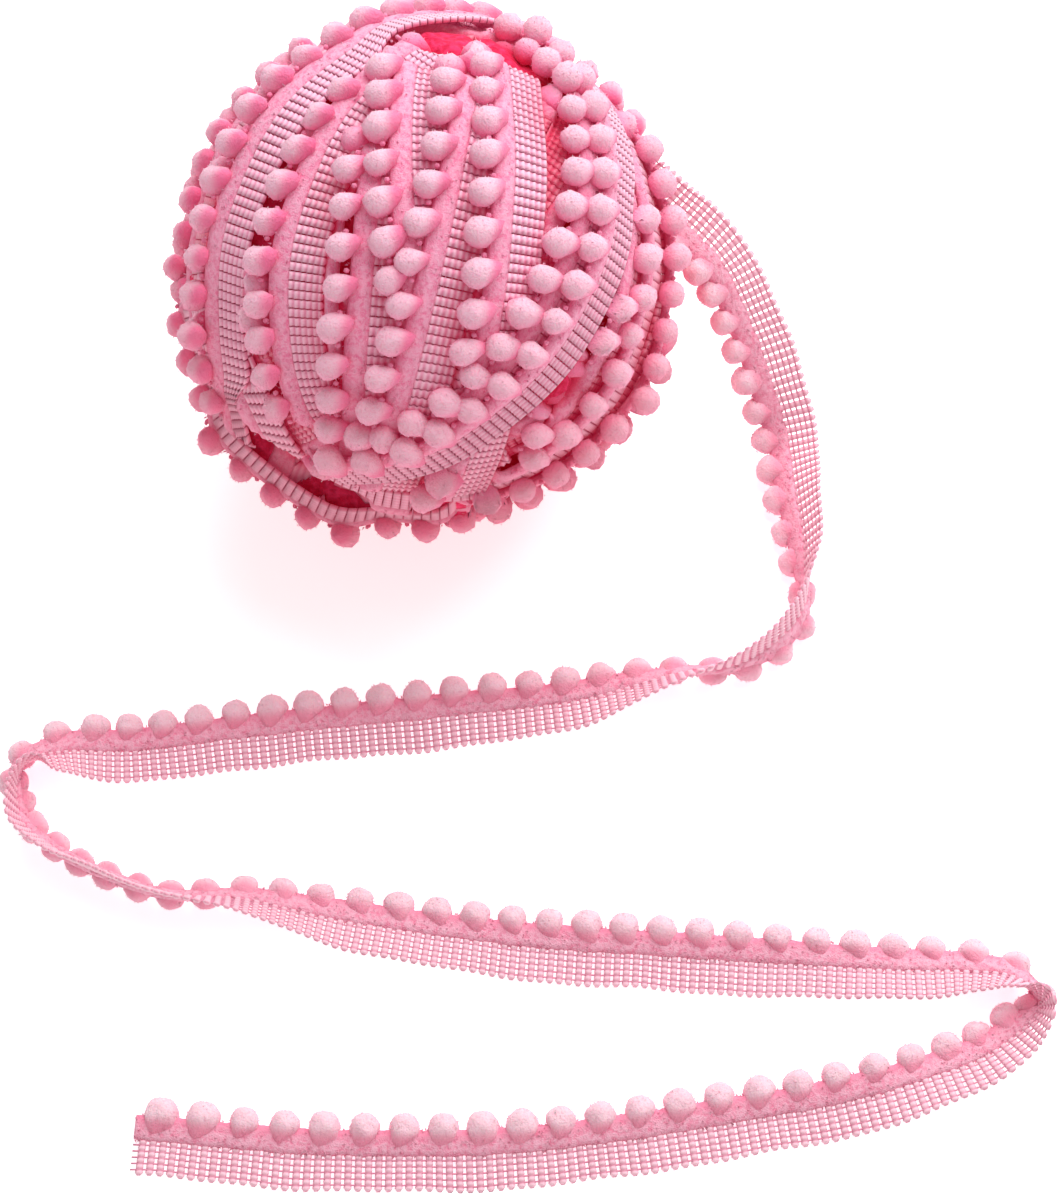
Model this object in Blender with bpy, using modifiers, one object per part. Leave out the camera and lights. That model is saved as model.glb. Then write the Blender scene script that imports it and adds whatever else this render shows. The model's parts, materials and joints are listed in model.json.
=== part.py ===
"""Pompom fringe trim: one long woven trim wound into a ball, its loose end lying in a zigzag.

The trim is a narrow woven tape with a thick pile heading along one edge and a row of
pompoms standing on the heading. The ball stands over the origin on a small flat spot and
the loose end runs from the ball's side down to the floor z = 0 and back and forth on it.
All sizes are in millimetres and are scaled to metres when a mesh is made.
"""

import math
from collections import namedtuple

import bmesh
import bpy
import numpy as np
from mathutils import Matrix, Vector

# ---------------------------------------------------------------- sizes, in millimetres
MM = 0.001
PITCH = 7.1  # from pompom to pompom along the trim
POMPOM_RADIUS = 2.95
WOVEN_WIDTH = 6.4
PARTING = 0.3  # between the woven tape and the pile heading
HEADING_WIDTH = 3.7
POMPOM_REACH = 11.3  # from the selvedge to the pompoms' centres
MIDLINE = 5.6  # from the selvedge to the line that the stations give
WOVEN_THICKNESS = 1.0
HEADING_THICKNESS = 2.0
TIGHT_BENDS = ((11, 14), (32, 38), (63, 68))  # pitches where the strip has twice the rings
OFF_THE_FLOOR = 0.02  # the least height of anything above the floor

BALL_CENTRE = Vector((0.0, 0.0, 49.5))
WOUND_RADIUS = 44.6  # to the selvedge of the outer turns
HEADING_RISE = 1.7
SELVEDGE_LIFT = 1.2  # of the woven part where it meets the heading; it falls to nothing
POMPOM_RISE = 4.2
POMPOM_LINE_RADIUS = 47.1  # from the ball's centre to the centres of the standing pompoms
POMPOM_LEAST_HEIGHT = 8.0  # the standing pompoms stay clear of the spot the ball rests on
POMPOM_CLEARANCE = 7.7  # from a standing pompom's centre to the loose end that leaves the ball
FLAT_SPOT = math.radians(12.0)  # half angle of the spot the ball rests on
FLAT_SPOT_EDGE = math.radians(19.0)
BALL_GRID = 20  # squares along each side of the cube that the ball is blown up from
SEAT_GAP = 0.35  # between the ball and the loose end that leaves it

# A turn is a circle round the ball: lon and lat aim its axis, spread is the angle from the
# axis to the pompoms, and the tape lies on the far side of them. first and last bound the
# pompoms that stand out on the turn, in degrees round the axis; rise lifts an outer turn.
Turn = namedtuple("Turn", "lon lat spread first last rise")
TURNS = (
    Turn(137, -29, 79, -32, -172, 1.6),
    Turn(98, -42, 103, -150, -366, 0.6),
    Turn(146, -30, 95, 0, 0, 0.4),
    Turn(177, 4, 70, 0, 0, 0.0),
    Turn(180, -14, 94, 0, 0, 0.2),
    Turn(172, 12, 81, 0, 0, 0.4),
    Turn(181, 14, 89, 0, 0, 0.6),
    Turn(180, 53, 71, 0, 0, 0.3),
    Turn(188, 61, 69, -62, -203, 1.6),
    Turn(-119, 63, 70, 0, 0, 0.4),
    Turn(-86, 61, 72, 0, 0, 0.0),
    Turn(20, 50, 92, 0, 0, -1.1),
    Turn(50, 12, 88, 0, 0, -1.2),
    Turn(75, -20, 84, 0, 0, -1.3),
    Turn(110, 30, 90, 0, 0, -1.4),
    Turn(150, 62, 95, 0, 0, -1.2),
    Turn(-20, 22, 78, 0, 0, -1.1),
    Turn(-30, -35, 84, 0, 0, -1.3),
)

# Where the loose end lies: pitch counts pompoms from the ball, x y z is the trim's midline
# and roll turns its width from flat (0, pompoms on the right of the way out) over standing
# on its pompoms (90) to flat on its other face (180).
Station = namedtuple("Station", "pitch x y z roll")
ROUTE = (
    Station(-2.1, 45, 17.5, 46, 40),
    Station(-1, 50, 15, 42, 30),
    Station(0, 55, 12, 38, 25),
    Station(2, 61.5, 5.5, 27.5, 20),
    Station(4, 66.5, -2.5, 17, 20),
    Station(6, 70.5, -11.5, 8, 25),
    Station(8, 71.5, -23.5, 7, 45),
    Station(10, 72.5, -37.5, 8, 65),
    Station(12, 70.5, -51, 8.5, 100),
    Station(14, 60.5, -61, 8.5, 85),
    Station(16, 46.5, -64.5, 7.5, 55),
    Station(19, 26, -69, 3.5, 10),
    Station(22, 4.5, -71, 1.5, -10),
    Station(28, -37, -76, 2, -5),
    Station(31, -57.5, -79, 2.5, -5),
    Station(33, -70, -80, 5.5, 25),
    Station(34, -75, -81.5, 7, 50),
    Station(35, -77.5, -84.5, 8.5, 75),
    Station(36, -78, -89, 8.5, 95),
    Station(37, -76.5, -95, 8.5, 110),
    Station(38, -71.5, -99.5, 8.5, 110),
    Station(40, -61, -105, 8.5, 105),
    Station(42, -48.5, -109.5, 8.5, 110),
    Station(44, -34.5, -110.5, 7.5, 130),
    Station(46, -21, -113, 5, 155),
    Station(49, 0.5, -116.5, 3.5, 175),
    Station(57, 56.5, -121, 2, 190),
    Station(61, 85, -123.5, 4.5, 165),
    Station(63, 99, -124, 5.5, 150),
    Station(64, 105.5, -125, 7, 135),
    Station(65, 110, -128, 8, 110),
    Station(66, 111, -131.5, 8.5, 70),
    Station(67, 107.5, -135.5, 6.5, 40),
    Station(68, 102, -139.5, 5.5, 25),
    Station(70, 89, -144.5, 4, 10),
    Station(72, 75, -148, 2, -10),
    Station(75, 53.5, -152, 2, -10),
    Station(80, 17.5, -157, 1.5, -15),
    Station(85, -18.5, -157.5, 1.5, -10),
    Station(89.6, -52.5, -155, 2.5, -5),
)
FIRST_POMPOM = -1
LAST_POMPOM = 89
LEAVING_STEPS = 16  # half pitches of the loose end that lie close to the ball

# ---------------------------------------------------------------- collections, materials


def empty_file():
    """Removes whatever the new file holds."""
    for thing in list(bpy.data.objects):
        bpy.data.objects.remove(thing)


def collection(name, hidden=False):
    """A collection under the scene's own."""
    group = bpy.data.collections.new(name)
    bpy.context.scene.collection.children.link(group)
    group.hide_render = hidden
    return group


def material(name, colour, roughness):
    """A Principled material of one colour."""
    made = bpy.data.materials.new(name)
    made.use_nodes = True
    shader = made.node_tree.nodes["Principled BSDF"]
    shader.inputs["Base Color"].default_value = (*colour, 1.0)
    shader.inputs["Roughness"].default_value = roughness
    made.diffuse_color = (*colour, 1.0)
    return made


def place(name, mesh, group, finish=None):
    """An object of the mesh, which is scaled from millimetres to metres."""
    bmesh.ops.scale(mesh, vec=(MM, MM, MM), verts=mesh.verts)
    bmesh.ops.recalc_face_normals(mesh, faces=mesh.faces)
    if mesh.calc_volume(signed=True) < 0.0:
        bmesh.ops.reverse_faces(mesh, faces=mesh.faces)
    data = bpy.data.meshes.new(name)
    mesh.to_mesh(data)
    mesh.free()
    thing = bpy.data.objects.new(name, data)
    group.objects.link(thing)
    if finish:
        data.materials.append(finish)
    return thing


def cutter_style(thing):
    """A cutter is shown as wires and isn't rendered."""
    thing.display_type = "WIRE"
    thing.hide_render = True


def boolean(thing, other, operation):
    """Joins or cuts thing with other as a live modifier."""
    step = thing.modifiers.new(operation.title(), "BOOLEAN")
    step.object = other
    step.operation = operation
    step.solver = "EXACT"
    step.use_self = operation == "UNION"


# ---------------------------------------------------------------- the loose end's route


def knot_slope(k):
    """The route's rate of change at a station, weighted by the spans on its two sides."""
    rows = [np.array(row, float) for row in ROUTE]
    if k == 0 or k == len(rows) - 1:
        a, b = (rows[0], rows[1]) if k == 0 else (rows[-2], rows[-1])
        return (b - a) / (b[0] - a[0])
    before = rows[k][0] - rows[k - 1][0]
    after = rows[k + 1][0] - rows[k][0]
    slope_before = (rows[k] - rows[k - 1]) / before
    slope_after = (rows[k + 1] - rows[k]) / after
    return (slope_before * after + slope_after * before) / (before + after)


SLOPES = [knot_slope(k) for k in range(len(ROUTE))]


def route_at(pitch):
    """Midline point and roll (degrees) at a place on the route, on a cubic through the stations."""
    k = 0
    while k < len(ROUTE) - 2 and ROUTE[k + 1].pitch <= pitch:
        k += 1
    a = np.array(ROUTE[k], float)
    b = np.array(ROUTE[k + 1], float)
    span = b[0] - a[0]
    u = (pitch - a[0]) / span
    row = (
        (2 * u**3 - 3 * u**2 + 1) * a
        + (u**3 - 2 * u**2 + u) * span * SLOPES[k]
        + (3 * u**2 - 2 * u**3) * b
        + (u**3 - u**2) * span * SLOPES[k + 1]
    )
    return Vector(row[1:4]), row[4]


def frame_at(pitch):
    """Midline point and width direction, which points at the pompoms."""
    point, roll = route_at(pitch)
    before = route_at(pitch - 0.1)[0]
    after = route_at(pitch + 0.1)[0]
    along = (after - before).normalized()
    right = along.cross(Vector((0, 0, 1))).normalized()
    upward = right.cross(along)
    turn = math.radians(roll)
    return point, right * math.cos(turn) - upward * math.sin(turn)


def on_trim(pitch, across, least_height):
    """The point of the trim's middle surface at a distance from the selvedge."""
    point, width = frame_at(pitch)
    spot = point + width * (across - MIDLINE)
    spot.z = max(spot.z, least_height + OFF_THE_FLOOR)
    return spot


def ring_places():
    """Where the strip's rings stand: halfway between pompoms, and at them in the tight bends."""
    places = [ROUTE[0].pitch, ROUTE[-1].pitch]
    for k in range(FIRST_POMPOM - 1, LAST_POMPOM):
        places.append(k + 0.5)
        if any(first <= k <= last for first, last in TIGHT_BENDS):
            places.append(k)
    return sorted(places)


def strip_mesh(near, far, thickness):
    """An open strip along the route, between two distances from the selvedge."""
    places = ring_places()
    spans = len(places) - 1
    mesh = bmesh.new()
    bmesh.ops.create_grid(mesh, x_segments=spans, y_segments=1, size=0.5)
    for vert in mesh.verts:
        ring = round((vert.co.x + 0.5) * spans)
        across = near if vert.co.y < 0.0 else far
        vert.co = on_trim(places[ring], across, thickness / 2)
    return mesh


def shell(thing, thickness):
    """Thickens an open strip evenly to both sides as a live modifier."""
    step = thing.modifiers.new("Solidify", "SOLIDIFY")
    step.thickness = thickness * MM
    step.offset = 0.0


def add_pompom(mesh, centre, outward, segments=6, rings=4):
    """A low round pompom whose poles lie on the outward line."""
    turn = outward.to_track_quat("Z", "Y").to_matrix().to_4x4()
    bmesh.ops.create_uvsphere(
        mesh,
        u_segments=segments,
        v_segments=rings,
        radius=POMPOM_RADIUS,
        matrix=Matrix.Translation(centre) @ turn,
    )


# ---------------------------------------------------------------- the ball


def axis_of(turn):
    """Unit vector of a turn's axis."""
    lon, lat = math.radians(turn.lon), math.radians(turn.lat)
    return Vector((math.cos(lat) * math.cos(lon), math.cos(lat) * math.sin(lon), math.sin(lat)))


def on_turn(turn, degrees):
    """Unit vector from the ball's centre to a place on a turn's pompom line."""
    axis = axis_of(turn)
    lon = math.radians(turn.lon)
    side = Vector((math.sin(lon), -math.cos(lon), 0.0))
    other = axis.cross(side)
    spread, round_axis = math.radians(turn.spread), math.radians(degrees)
    ring = side * math.cos(round_axis) + other * math.sin(round_axis)
    return axis * math.cos(spread) + ring * math.sin(spread)


def turn_height(turn, direction):
    """How far a turn raises the ball's surface there, or nothing beside the turn."""
    angle = math.acos(max(-1.0, min(1.0, axis_of(turn).dot(direction))))
    across = (angle - math.radians(turn.spread)) * WOUND_RADIUS
    if across < -POMPOM_RADIUS or across > POMPOM_REACH:
        return 0.0
    heading_end = POMPOM_REACH - WOVEN_WIDTH
    if across < POMPOM_RADIUS:
        bulge = math.sqrt(max(0.0, 1.0 - (across / POMPOM_RADIUS) ** 2))
        return turn.rise + HEADING_RISE + (POMPOM_RISE - HEADING_RISE) * bulge
    if across < heading_end:
        return turn.rise + HEADING_RISE
    fall = (across - heading_end) / WOVEN_WIDTH
    return turn.rise + SELVEDGE_LIFT * (1.0 - fall)


def ball_radius(direction):
    """The wound surface's distance from the ball's centre."""
    radius = WOUND_RADIUS + max(turn_height(turn, direction) for turn in TURNS)
    down = math.acos(max(-1.0, min(1.0, -direction.z)))
    if down >= FLAT_SPOT_EDGE:
        return radius
    flat = BALL_CENTRE.z / math.cos(min(down, FLAT_SPOT))
    blend = max(0.0, (down - FLAT_SPOT) / (FLAT_SPOT_EDGE - FLAT_SPOT))
    return flat + (radius - flat) * blend


def ball_mesh(swell=0.0):
    """The wound form as a cube blown up to a ball with the turns' ridges."""
    mesh = bmesh.new()
    bmesh.ops.create_cube(mesh, size=2.0)
    bmesh.ops.subdivide_edges(mesh, edges=mesh.edges, cuts=BALL_GRID - 1, use_grid_fill=True)
    for vert in mesh.verts:
        warped = [math.tan(value * math.pi / 4.0) for value in vert.co]
        direction = Vector(warped).normalized()
        vert.co = BALL_CENTRE + direction * (ball_radius(direction) + swell)
        if not swell:
            vert.co.z = max(vert.co.z, 0.0)
    bmesh.ops.triangulate(mesh, faces=mesh.faces)
    return mesh


def ball_pompoms(clear_of):
    """The standing pompoms of the outer turns, as separate closed bodies."""
    mesh = bmesh.new()
    for turn in TURNS:
        sweep = turn.last - turn.first
        around = math.radians(abs(sweep)) * math.sin(math.radians(turn.spread))
        count = int(around * POMPOM_LINE_RADIUS / PITCH)
        for k in range(count + 1 if sweep else 0):
            outward = on_turn(turn, turn.first + sweep * k / count)
            centre = BALL_CENTRE + outward * (POMPOM_LINE_RADIUS + turn.rise)
            near_end = min((centre - point).length for point in clear_of)
            if centre.z > POMPOM_LEAST_HEIGHT and near_end > POMPOM_CLEARANCE:
                add_pompom(mesh, centre, outward)
    return mesh


# ---------------------------------------------------------------- build

empty_file()
parts = collection("pompom_trim")
cutters = collection("cutters", hidden=True)
ball_yarn = material("wound_trim_pink", (0.86, 0.36, 0.50), 0.9)
woven_yarn = material("woven_tape_pink", (0.90, 0.42, 0.55), 0.7)
pile_yarn = material("pile_and_pompom_pink", (0.92, 0.50, 0.62), 0.95)

leaving = [
    on_trim(ROUTE[0].pitch + 0.5 * k, across, 0.0)
    for k in range(LEAVING_STEPS)
    for across in (0.0, MIDLINE, POMPOM_REACH)
]
ball = place("wound_ball", ball_mesh(), parts, ball_yarn)
turn_pompoms = place("ball_pompoms", ball_pompoms(leaving), cutters)
boolean(ball, turn_pompoms, "UNION")
seat = place("ball_seat", ball_mesh(SEAT_GAP), cutters)

tape = place("loose_tape", strip_mesh(0.0, WOVEN_WIDTH, WOVEN_THICKNESS), parts, woven_yarn)
shell(tape, WOVEN_THICKNESS)
boolean(tape, seat, "DIFFERENCE")

heading_near = WOVEN_WIDTH + PARTING
heading_far = heading_near + HEADING_WIDTH
heading_strip = strip_mesh(heading_near, heading_far, HEADING_THICKNESS)
heading = place("loose_heading", heading_strip, parts, pile_yarn)
shell(heading, HEADING_THICKNESS)
row = bmesh.new()
for k in range(FIRST_POMPOM, LAST_POMPOM + 1):
    add_pompom(row, on_trim(k, POMPOM_REACH, POMPOM_RADIUS), frame_at(k)[1])
pompom_row = place("pompom_row", row, cutters)
boolean(heading, pompom_row, "UNION")
boolean(heading, seat, "DIFFERENCE")

for thing in (turn_pompoms, seat, pompom_row):
    cutter_style(thing)
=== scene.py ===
"""Looks of a pompom fringe trim: a ball of wound trim with its loose end lying in a zigzag.

The trim is an open woven tape of lobed weft bundles on thin warp threads, a tufted pile
heading along one edge and round pompoms standing on the heading. Its parts are modelled
flat, as small forms repeated by an array or as rods of the whole length, and are then laid
along a path: the loose end's route over the floor, or a turn round the ball. Lengths are in
millimetres until a mesh is laid. The route is that of the CAD part, begun two pitches earlier.
"""

from __future__ import annotations

import json
import logging
import math
from collections import namedtuple
from collections.abc import Callable, Iterable, Iterator, Sequence
from dataclasses import dataclass, field, fields, replace
from enum import Enum

import bmesh
import bpy
import numpy as np
from mathutils import Matrix, Vector

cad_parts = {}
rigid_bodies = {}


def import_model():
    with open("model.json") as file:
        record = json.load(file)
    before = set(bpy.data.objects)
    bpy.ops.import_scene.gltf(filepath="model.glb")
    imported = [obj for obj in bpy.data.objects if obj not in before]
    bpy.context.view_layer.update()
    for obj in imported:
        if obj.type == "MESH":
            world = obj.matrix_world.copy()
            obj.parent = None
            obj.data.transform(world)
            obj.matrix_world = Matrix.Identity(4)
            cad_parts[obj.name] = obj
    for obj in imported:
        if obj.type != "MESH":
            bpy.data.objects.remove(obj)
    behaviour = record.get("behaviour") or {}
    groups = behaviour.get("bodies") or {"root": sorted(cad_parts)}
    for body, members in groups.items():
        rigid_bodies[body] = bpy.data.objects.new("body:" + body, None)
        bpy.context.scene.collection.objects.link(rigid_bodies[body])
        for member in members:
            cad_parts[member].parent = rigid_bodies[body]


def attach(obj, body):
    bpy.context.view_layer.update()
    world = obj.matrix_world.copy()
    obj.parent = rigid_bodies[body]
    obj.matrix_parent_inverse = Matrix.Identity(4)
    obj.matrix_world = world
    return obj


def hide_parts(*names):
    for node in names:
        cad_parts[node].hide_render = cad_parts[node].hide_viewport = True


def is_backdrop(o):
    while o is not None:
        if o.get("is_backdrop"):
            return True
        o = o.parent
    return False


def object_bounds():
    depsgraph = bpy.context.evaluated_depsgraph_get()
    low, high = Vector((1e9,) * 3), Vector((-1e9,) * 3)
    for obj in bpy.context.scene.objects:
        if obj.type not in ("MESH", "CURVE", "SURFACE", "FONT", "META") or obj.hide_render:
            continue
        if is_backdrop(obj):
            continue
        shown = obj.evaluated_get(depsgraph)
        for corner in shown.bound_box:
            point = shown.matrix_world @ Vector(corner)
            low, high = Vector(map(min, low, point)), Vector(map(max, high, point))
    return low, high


LOG = logging.getLogger("pompom_trim")
MM = 0.001
SEED = 11
Colour = tuple[float, float, float]
Points = np.ndarray


# ---------------- the trim's own sizes


@dataclass(frozen=True)
class TrimSizes:
    """Sizes of the trim laid flat, in millimetres; across is measured from the selvedge.

    The heading's collar is its outer side, where the pompoms stand: wider by collar_width
    and thicker by the share collar_height.
    """

    pitch: float = 7.1
    woven_width: float = 6.7
    midline: float = 5.6
    bundles_a_pitch: int = 4
    bundle_half_height: float = 0.50
    lobes: int = 6
    warp_radius: float = 0.17
    heading_width: float = 4.2
    heading_overlap: float = 0.4
    heading_half_height: float = 0.95
    collar_width: float = 0.6
    collar_height: float = 0.7
    pompom_reach: float = 11.3
    pompom_radius: float = 2.8
    neck_length: float = 1.1
    least_height: float = 0.02

    @property
    def full_width(self) -> float:
        """Width of the woven tape and the heading together."""
        return self.woven_width + self.heading_width

    @property
    def bundle_step(self) -> float:
        """Distance from one weft bundle to the next."""
        return self.pitch / self.bundles_a_pitch

    @property
    def heading_centre(self) -> float:
        """Distance of the heading's middle from the selvedge."""
        return self.woven_width - self.heading_overlap + self.heading_width / 2

    @property
    def lobe_width(self) -> float:
        """Width of one lobe of a weft bundle."""
        return self.woven_width / self.lobes


TRIM = TrimSizes()

# The loose end's route: the pitch of the trim at each station, where the trim's midline
# lies there in millimetres, and how far its face is rolled, in degrees.
Station = namedtuple("Station", "pitch x y z roll")
ROUTE = tuple(Station(*row) for row in (
    (-4, 37, 24.5, 53, 60), (-3, 40.5, 20.5, 49.5, 50), (-2.1, 45, 17.5, 46, 40),
    (-1, 50, 15, 42, 30), (0, 55, 12, 38, 25), (2, 61.5, 5.5, 27.5, 20),
    (4, 66.5, -2.5, 17, 20), (6, 70.5, -11.5, 8, 25), (8, 71.5, -23.5, 7, 45),
    (10, 72.5, -37.5, 8, 65), (12, 70.5, -51, 8.5, 100), (14, 60.5, -61, 8.5, 85),
    (16, 46.5, -64.5, 7.5, 55), (19, 26, -69, 3.5, 10), (22, 4.5, -71, 1.5, -10),
    (28, -37, -76, 2, -5), (31, -57.5, -79, 2.5, -5), (33, -70, -80, 5.5, 25),
    (34, -75, -81.5, 7, 50), (35, -77.5, -84.5, 8.5, 75), (36, -78, -89, 8.5, 95),
    (37, -76.5, -95, 8.5, 110), (38, -71.5, -99.5, 8.5, 110), (40, -61, -105, 8.5, 105),
    (42, -48.5, -109.5, 8.5, 110), (44, -34.5, -110.5, 7.5, 130), (46, -21, -113, 5, 155),
    (49, 0.5, -116.5, 3.5, 175), (57, 56.5, -121, 2, 190), (61, 85, -123.5, 4.5, 165),
    (63, 99, -124, 5.5, 150), (64, 105.5, -125, 7, 135), (65, 110, -128, 8, 110),
    (66, 111, -131.5, 8.5, 70), (67, 107.5, -135.5, 6.5, 40), (68, 102, -139.5, 5.5, 25),
    (70, 89, -144.5, 4, 10), (72, 75, -148, 2, -10), (75, 53.5, -152, 2, -10),
    (80, 17.5, -157, 1.5, -15), (85, -18.5, -157.5, 1.5, -10), (89.6, -52.5, -155, 2.5, -5),
))
FIRST_POMPOM = -1
LAST_POMPOM = 89

# A turn is a circle round the ball. lon and lat aim its axis and spread is the angle from
# the axis to the pompoms; first and last bound the arc that lies on the surface, in
# degrees round the axis, and rise lifts the turn. Later turns lie on earlier ones. Where a
# turn is gathered, between low and high, its tape is drawn in to a share of its width
# towards the pivot, which is measured across, and lifted by lift for each millimetre from
# it. At its first end a turn goes down between the others over dive degrees.
Gather = namedtuple("Gather", "low high share lift pivot", defaults=(12.1,))
Turn = namedtuple("Turn", "lon lat spread first last rise gathers dive", defaults=((), 14.0))
FULL = 360.0
BACK_TURNS = (
    Turn(20, 50, 92, 0, -FULL, -1.3),
    Turn(75, -20, 84, 0, -FULL, -1.3),
    Turn(110, 30, 90, 0, -FULL, -1.2),
    Turn(150, 62, 95, 0, -FULL, -1.2),
    Turn(-20, 22, 78, 0, -FULL, -1.1),
    Turn(-30, -35, 84, 0, -FULL, -1.1),
    Turn(50, 12, 88, 0, -FULL, -1.0),
    Turn(0, 90, 124, 95, -60, -1.0),
    *(Turn(-4 + 5 * k, 57 - 2 * k, 74 + 13 * k, -112, -238, -0.9 + 0.1 * k) for k in range(6)),
)
SIDE_TURNS = (
    Turn(137, -29, 71, -6, -96, 1.0),
    Turn(94, -58, 98, -176, -284, 0.9),
    Turn(94, -58, 94, -262, -540, -0.4),
    Turn(-157, 54, 82, -82.5, -174.5, -0.4),
    Turn(-119, 63, 70, -124, -226, -0.1),
    Turn(-86, 61, 72, -152, -264, 0.1),
)
FRONT_TURNS = (
    Turn(146, -30, 95, -62, -170, 0.2),
    Turn(-168, -18, 33, -112, -200, 0.9),
    Turn(177, 4, 70, -97.2, -178.7, 0.0),
    Turn(180, -14, 94, -70.5, -181.5, 0.2),
    Turn(172, 12, 81, -75.5, -186.6, 0.3),
    Turn(181, 14, 89, -68.9, -186.6, 0.4),
    Turn(180, 53, 71, -48, -181, 0.5),
)
OUTER_TURNS = (
    Turn(188, 61, 69, -54, -207, 1.5, (Gather(-230, -90, 0.86, 0.0),), 28.0),
    Turn(
        137, -29, 79, -26, -195.6, 1.5,
        (Gather(-84, -14, 0.70, 0.12), Gather(-224, -164, 0.30, 0.0)),
    ),
    Turn(94, -58, 94, -186, -268, 1.4, (Gather(-276, -178, 0.45, 0.06),)),
)

# The ball's relief: places where the turns lie higher or lower than round it. lon and lat
# aim an axis, and the place is an arc round it, spread degrees away and from low to high
# (a round place has no spread). reach is its half width in degrees, and height is how far
# it stands out. The outermost turns span the hollows.
Relief = namedtuple("Relief", "lon lat spread low high reach height")
RELIEF = (
    Relief(84, 53, 0, 0, 360, 13, -8.0),
    Relief(66, 46, 0, 0, 360, 9, -6.0),
    Relief(-56, 21, 0, 0, 360, 9, -6.0),
    Relief(94, -58, 92, 118, 142, 16, 3.6),
    Relief(94, -58, 103, 114, 140, 7, -5.0),
)
# The inner turns reach up here to the last turn, which would else stand clear of them.
BANK = (Relief(94, -58, 101, 88, 176, 10, 4.2),)


# ---------------- paths that the trim lies on


def unit(rows: Points) -> Points:
    """The rows' directions, each of length 1."""
    return rows / np.linalg.norm(rows, axis=1, keepdims=True)


def eased(share: Points) -> Points:
    """A share held between 0 and 1 that sets in and ends smoothly."""
    share = np.clip(share, 0, 1)
    return share * share * (3 - 2 * share)


def waves(places: Points, *rows: tuple[float, float, float]) -> Points:
    """The sum of some waves, each given by its height, its pace and its shift."""
    return sum(height * np.sin(places * pace + shift) for height, pace, shift in rows)


class Path:
    """A line that the trim lies along; its places are given in the trim's own measures."""

    length: float

    def lay(self, along: Points, across: Points, above: Points) -> Points:
        """Bends flat trim onto the path.

        Args:
            along: distances along the trim from the path's start, in millimetres.
            across: distances from the selvedge.
            above: heights over the trim's middle surface.

        Returns:
            Points in millimetres, one row each.
        """
        raise NotImplementedError


class LoosePath(Path):
    """The loose end's route from the ball down to the floor and along it.

    STEP is the sampling, in pitches. The selvedge side sways sideways and lifts in soft
    waves, which fade across the trim.
    """

    STEP = 0.05
    SWAY = ((0.22, 1.3, 0.0), (0.14, 2.9, 1.0))
    SWAY_FADE = 9.0
    LIFT, LIFT_PACE, LIFT_SLANT = 0.16, 2.1, 0.35
    LIFT_FADE = 8.0

    def __init__(self) -> None:
        """Samples the route closely, with its width and face directions."""
        first, last = ROUTE[0].pitch, ROUTE[-1].pitch
        self.length = (last - first) * TRIM.pitch
        self.places = np.arange(first, last + self.STEP / 2, self.STEP)
        rows = self._cubic(self.places)
        self.points = rows[:, 1:4]
        along = unit(np.gradient(self.points, axis=0))
        right = unit(np.cross(along, (0.0, 0.0, 1.0)))
        upward = np.cross(right, along)
        roll = np.radians(rows[:, 4])[:, None]
        self.width = right * np.cos(roll) - upward * np.sin(roll)
        self.face = np.cross(along, self.width)

    @staticmethod
    def _cubic(places: Points) -> Points:
        """Rows of the route at the places, on a cubic through the stations.

        Args:
            places: places on the route, in pitches.

        Returns:
            One row for each, as in the table.
        """
        rows = np.array(ROUTE, float)
        spans = np.diff(rows[:, 0])[:, None]
        slopes = np.diff(rows, axis=0) / spans
        inner = (slopes[:-1] * spans[1:] + slopes[1:] * spans[:-1]) / (spans[1:] + spans[:-1])
        knots = np.vstack((slopes[:1], inner, slopes[-1:]))
        k = np.clip(np.searchsorted(rows[:, 0], places, side="right") - 1, 0, len(rows) - 2)
        span = spans[k]
        u = (places[:, None] - rows[k, :1]) / span
        start = (2 * u**3 - 3 * u**2 + 1) * rows[k] + (u**3 - 2 * u**2 + u) * span * knots[k]
        end = (3 * u**2 - 2 * u**3) * rows[k + 1] + (u**3 - u**2) * span * knots[k + 1]
        return start + end

    def _read(self, table: Points, pitch: Points) -> Points:
        """Values of a sampled table at places on the route."""
        columns = [np.interp(pitch, self.places, table[:, axis]) for axis in range(3)]
        return np.stack(columns, axis=1)

    def lay(self, along: Points, across: Points, above: Points) -> Points:
        """Bends flat trim onto the route; see Path."""
        pitch = ROUTE[0].pitch + along / TRIM.pitch
        sway = waves(pitch, *self.SWAY) * np.clip(1 - across / self.SWAY_FADE, 0, 1)
        lift = self.LIFT * np.sin(pitch * self.LIFT_PACE + self.LIFT_SLANT * across)
        lift *= np.clip(1 - across / self.LIFT_FADE, 0, 1)
        width = self._read(self.width, pitch)
        face = self._read(self.face, pitch)
        offset = (across - TRIM.midline + sway)[:, None]
        beyond = np.clip(along - self.length, 0, None) + np.clip(along, None, 0)
        tangent = np.cross(width, face)
        spots = self._read(self.points, pitch) + width * offset + face * (above + lift)[:, None]
        return spots + tangent * beyond[:, None]


def aim(lon: float, lat: float) -> tuple[Points, Points, Points]:
    """An axis through the ball and the two directions across it.

    Args:
        lon: the axis's turn round the upright, in degrees.
        lat: its angle over the level.

    Returns:
        The axis, the level direction that angles round it start from, and the third one.
    """
    turned, raised = math.radians(lon), math.radians(lat)
    level = np.array((math.cos(turned), math.sin(turned), 0.0))
    axis = level * math.cos(raised) + np.array((0.0, 0.0, math.sin(raised)))
    side = np.array((math.sin(turned), -math.cos(turned), 0.0))
    return axis, side, np.cross(axis, side)


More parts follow.
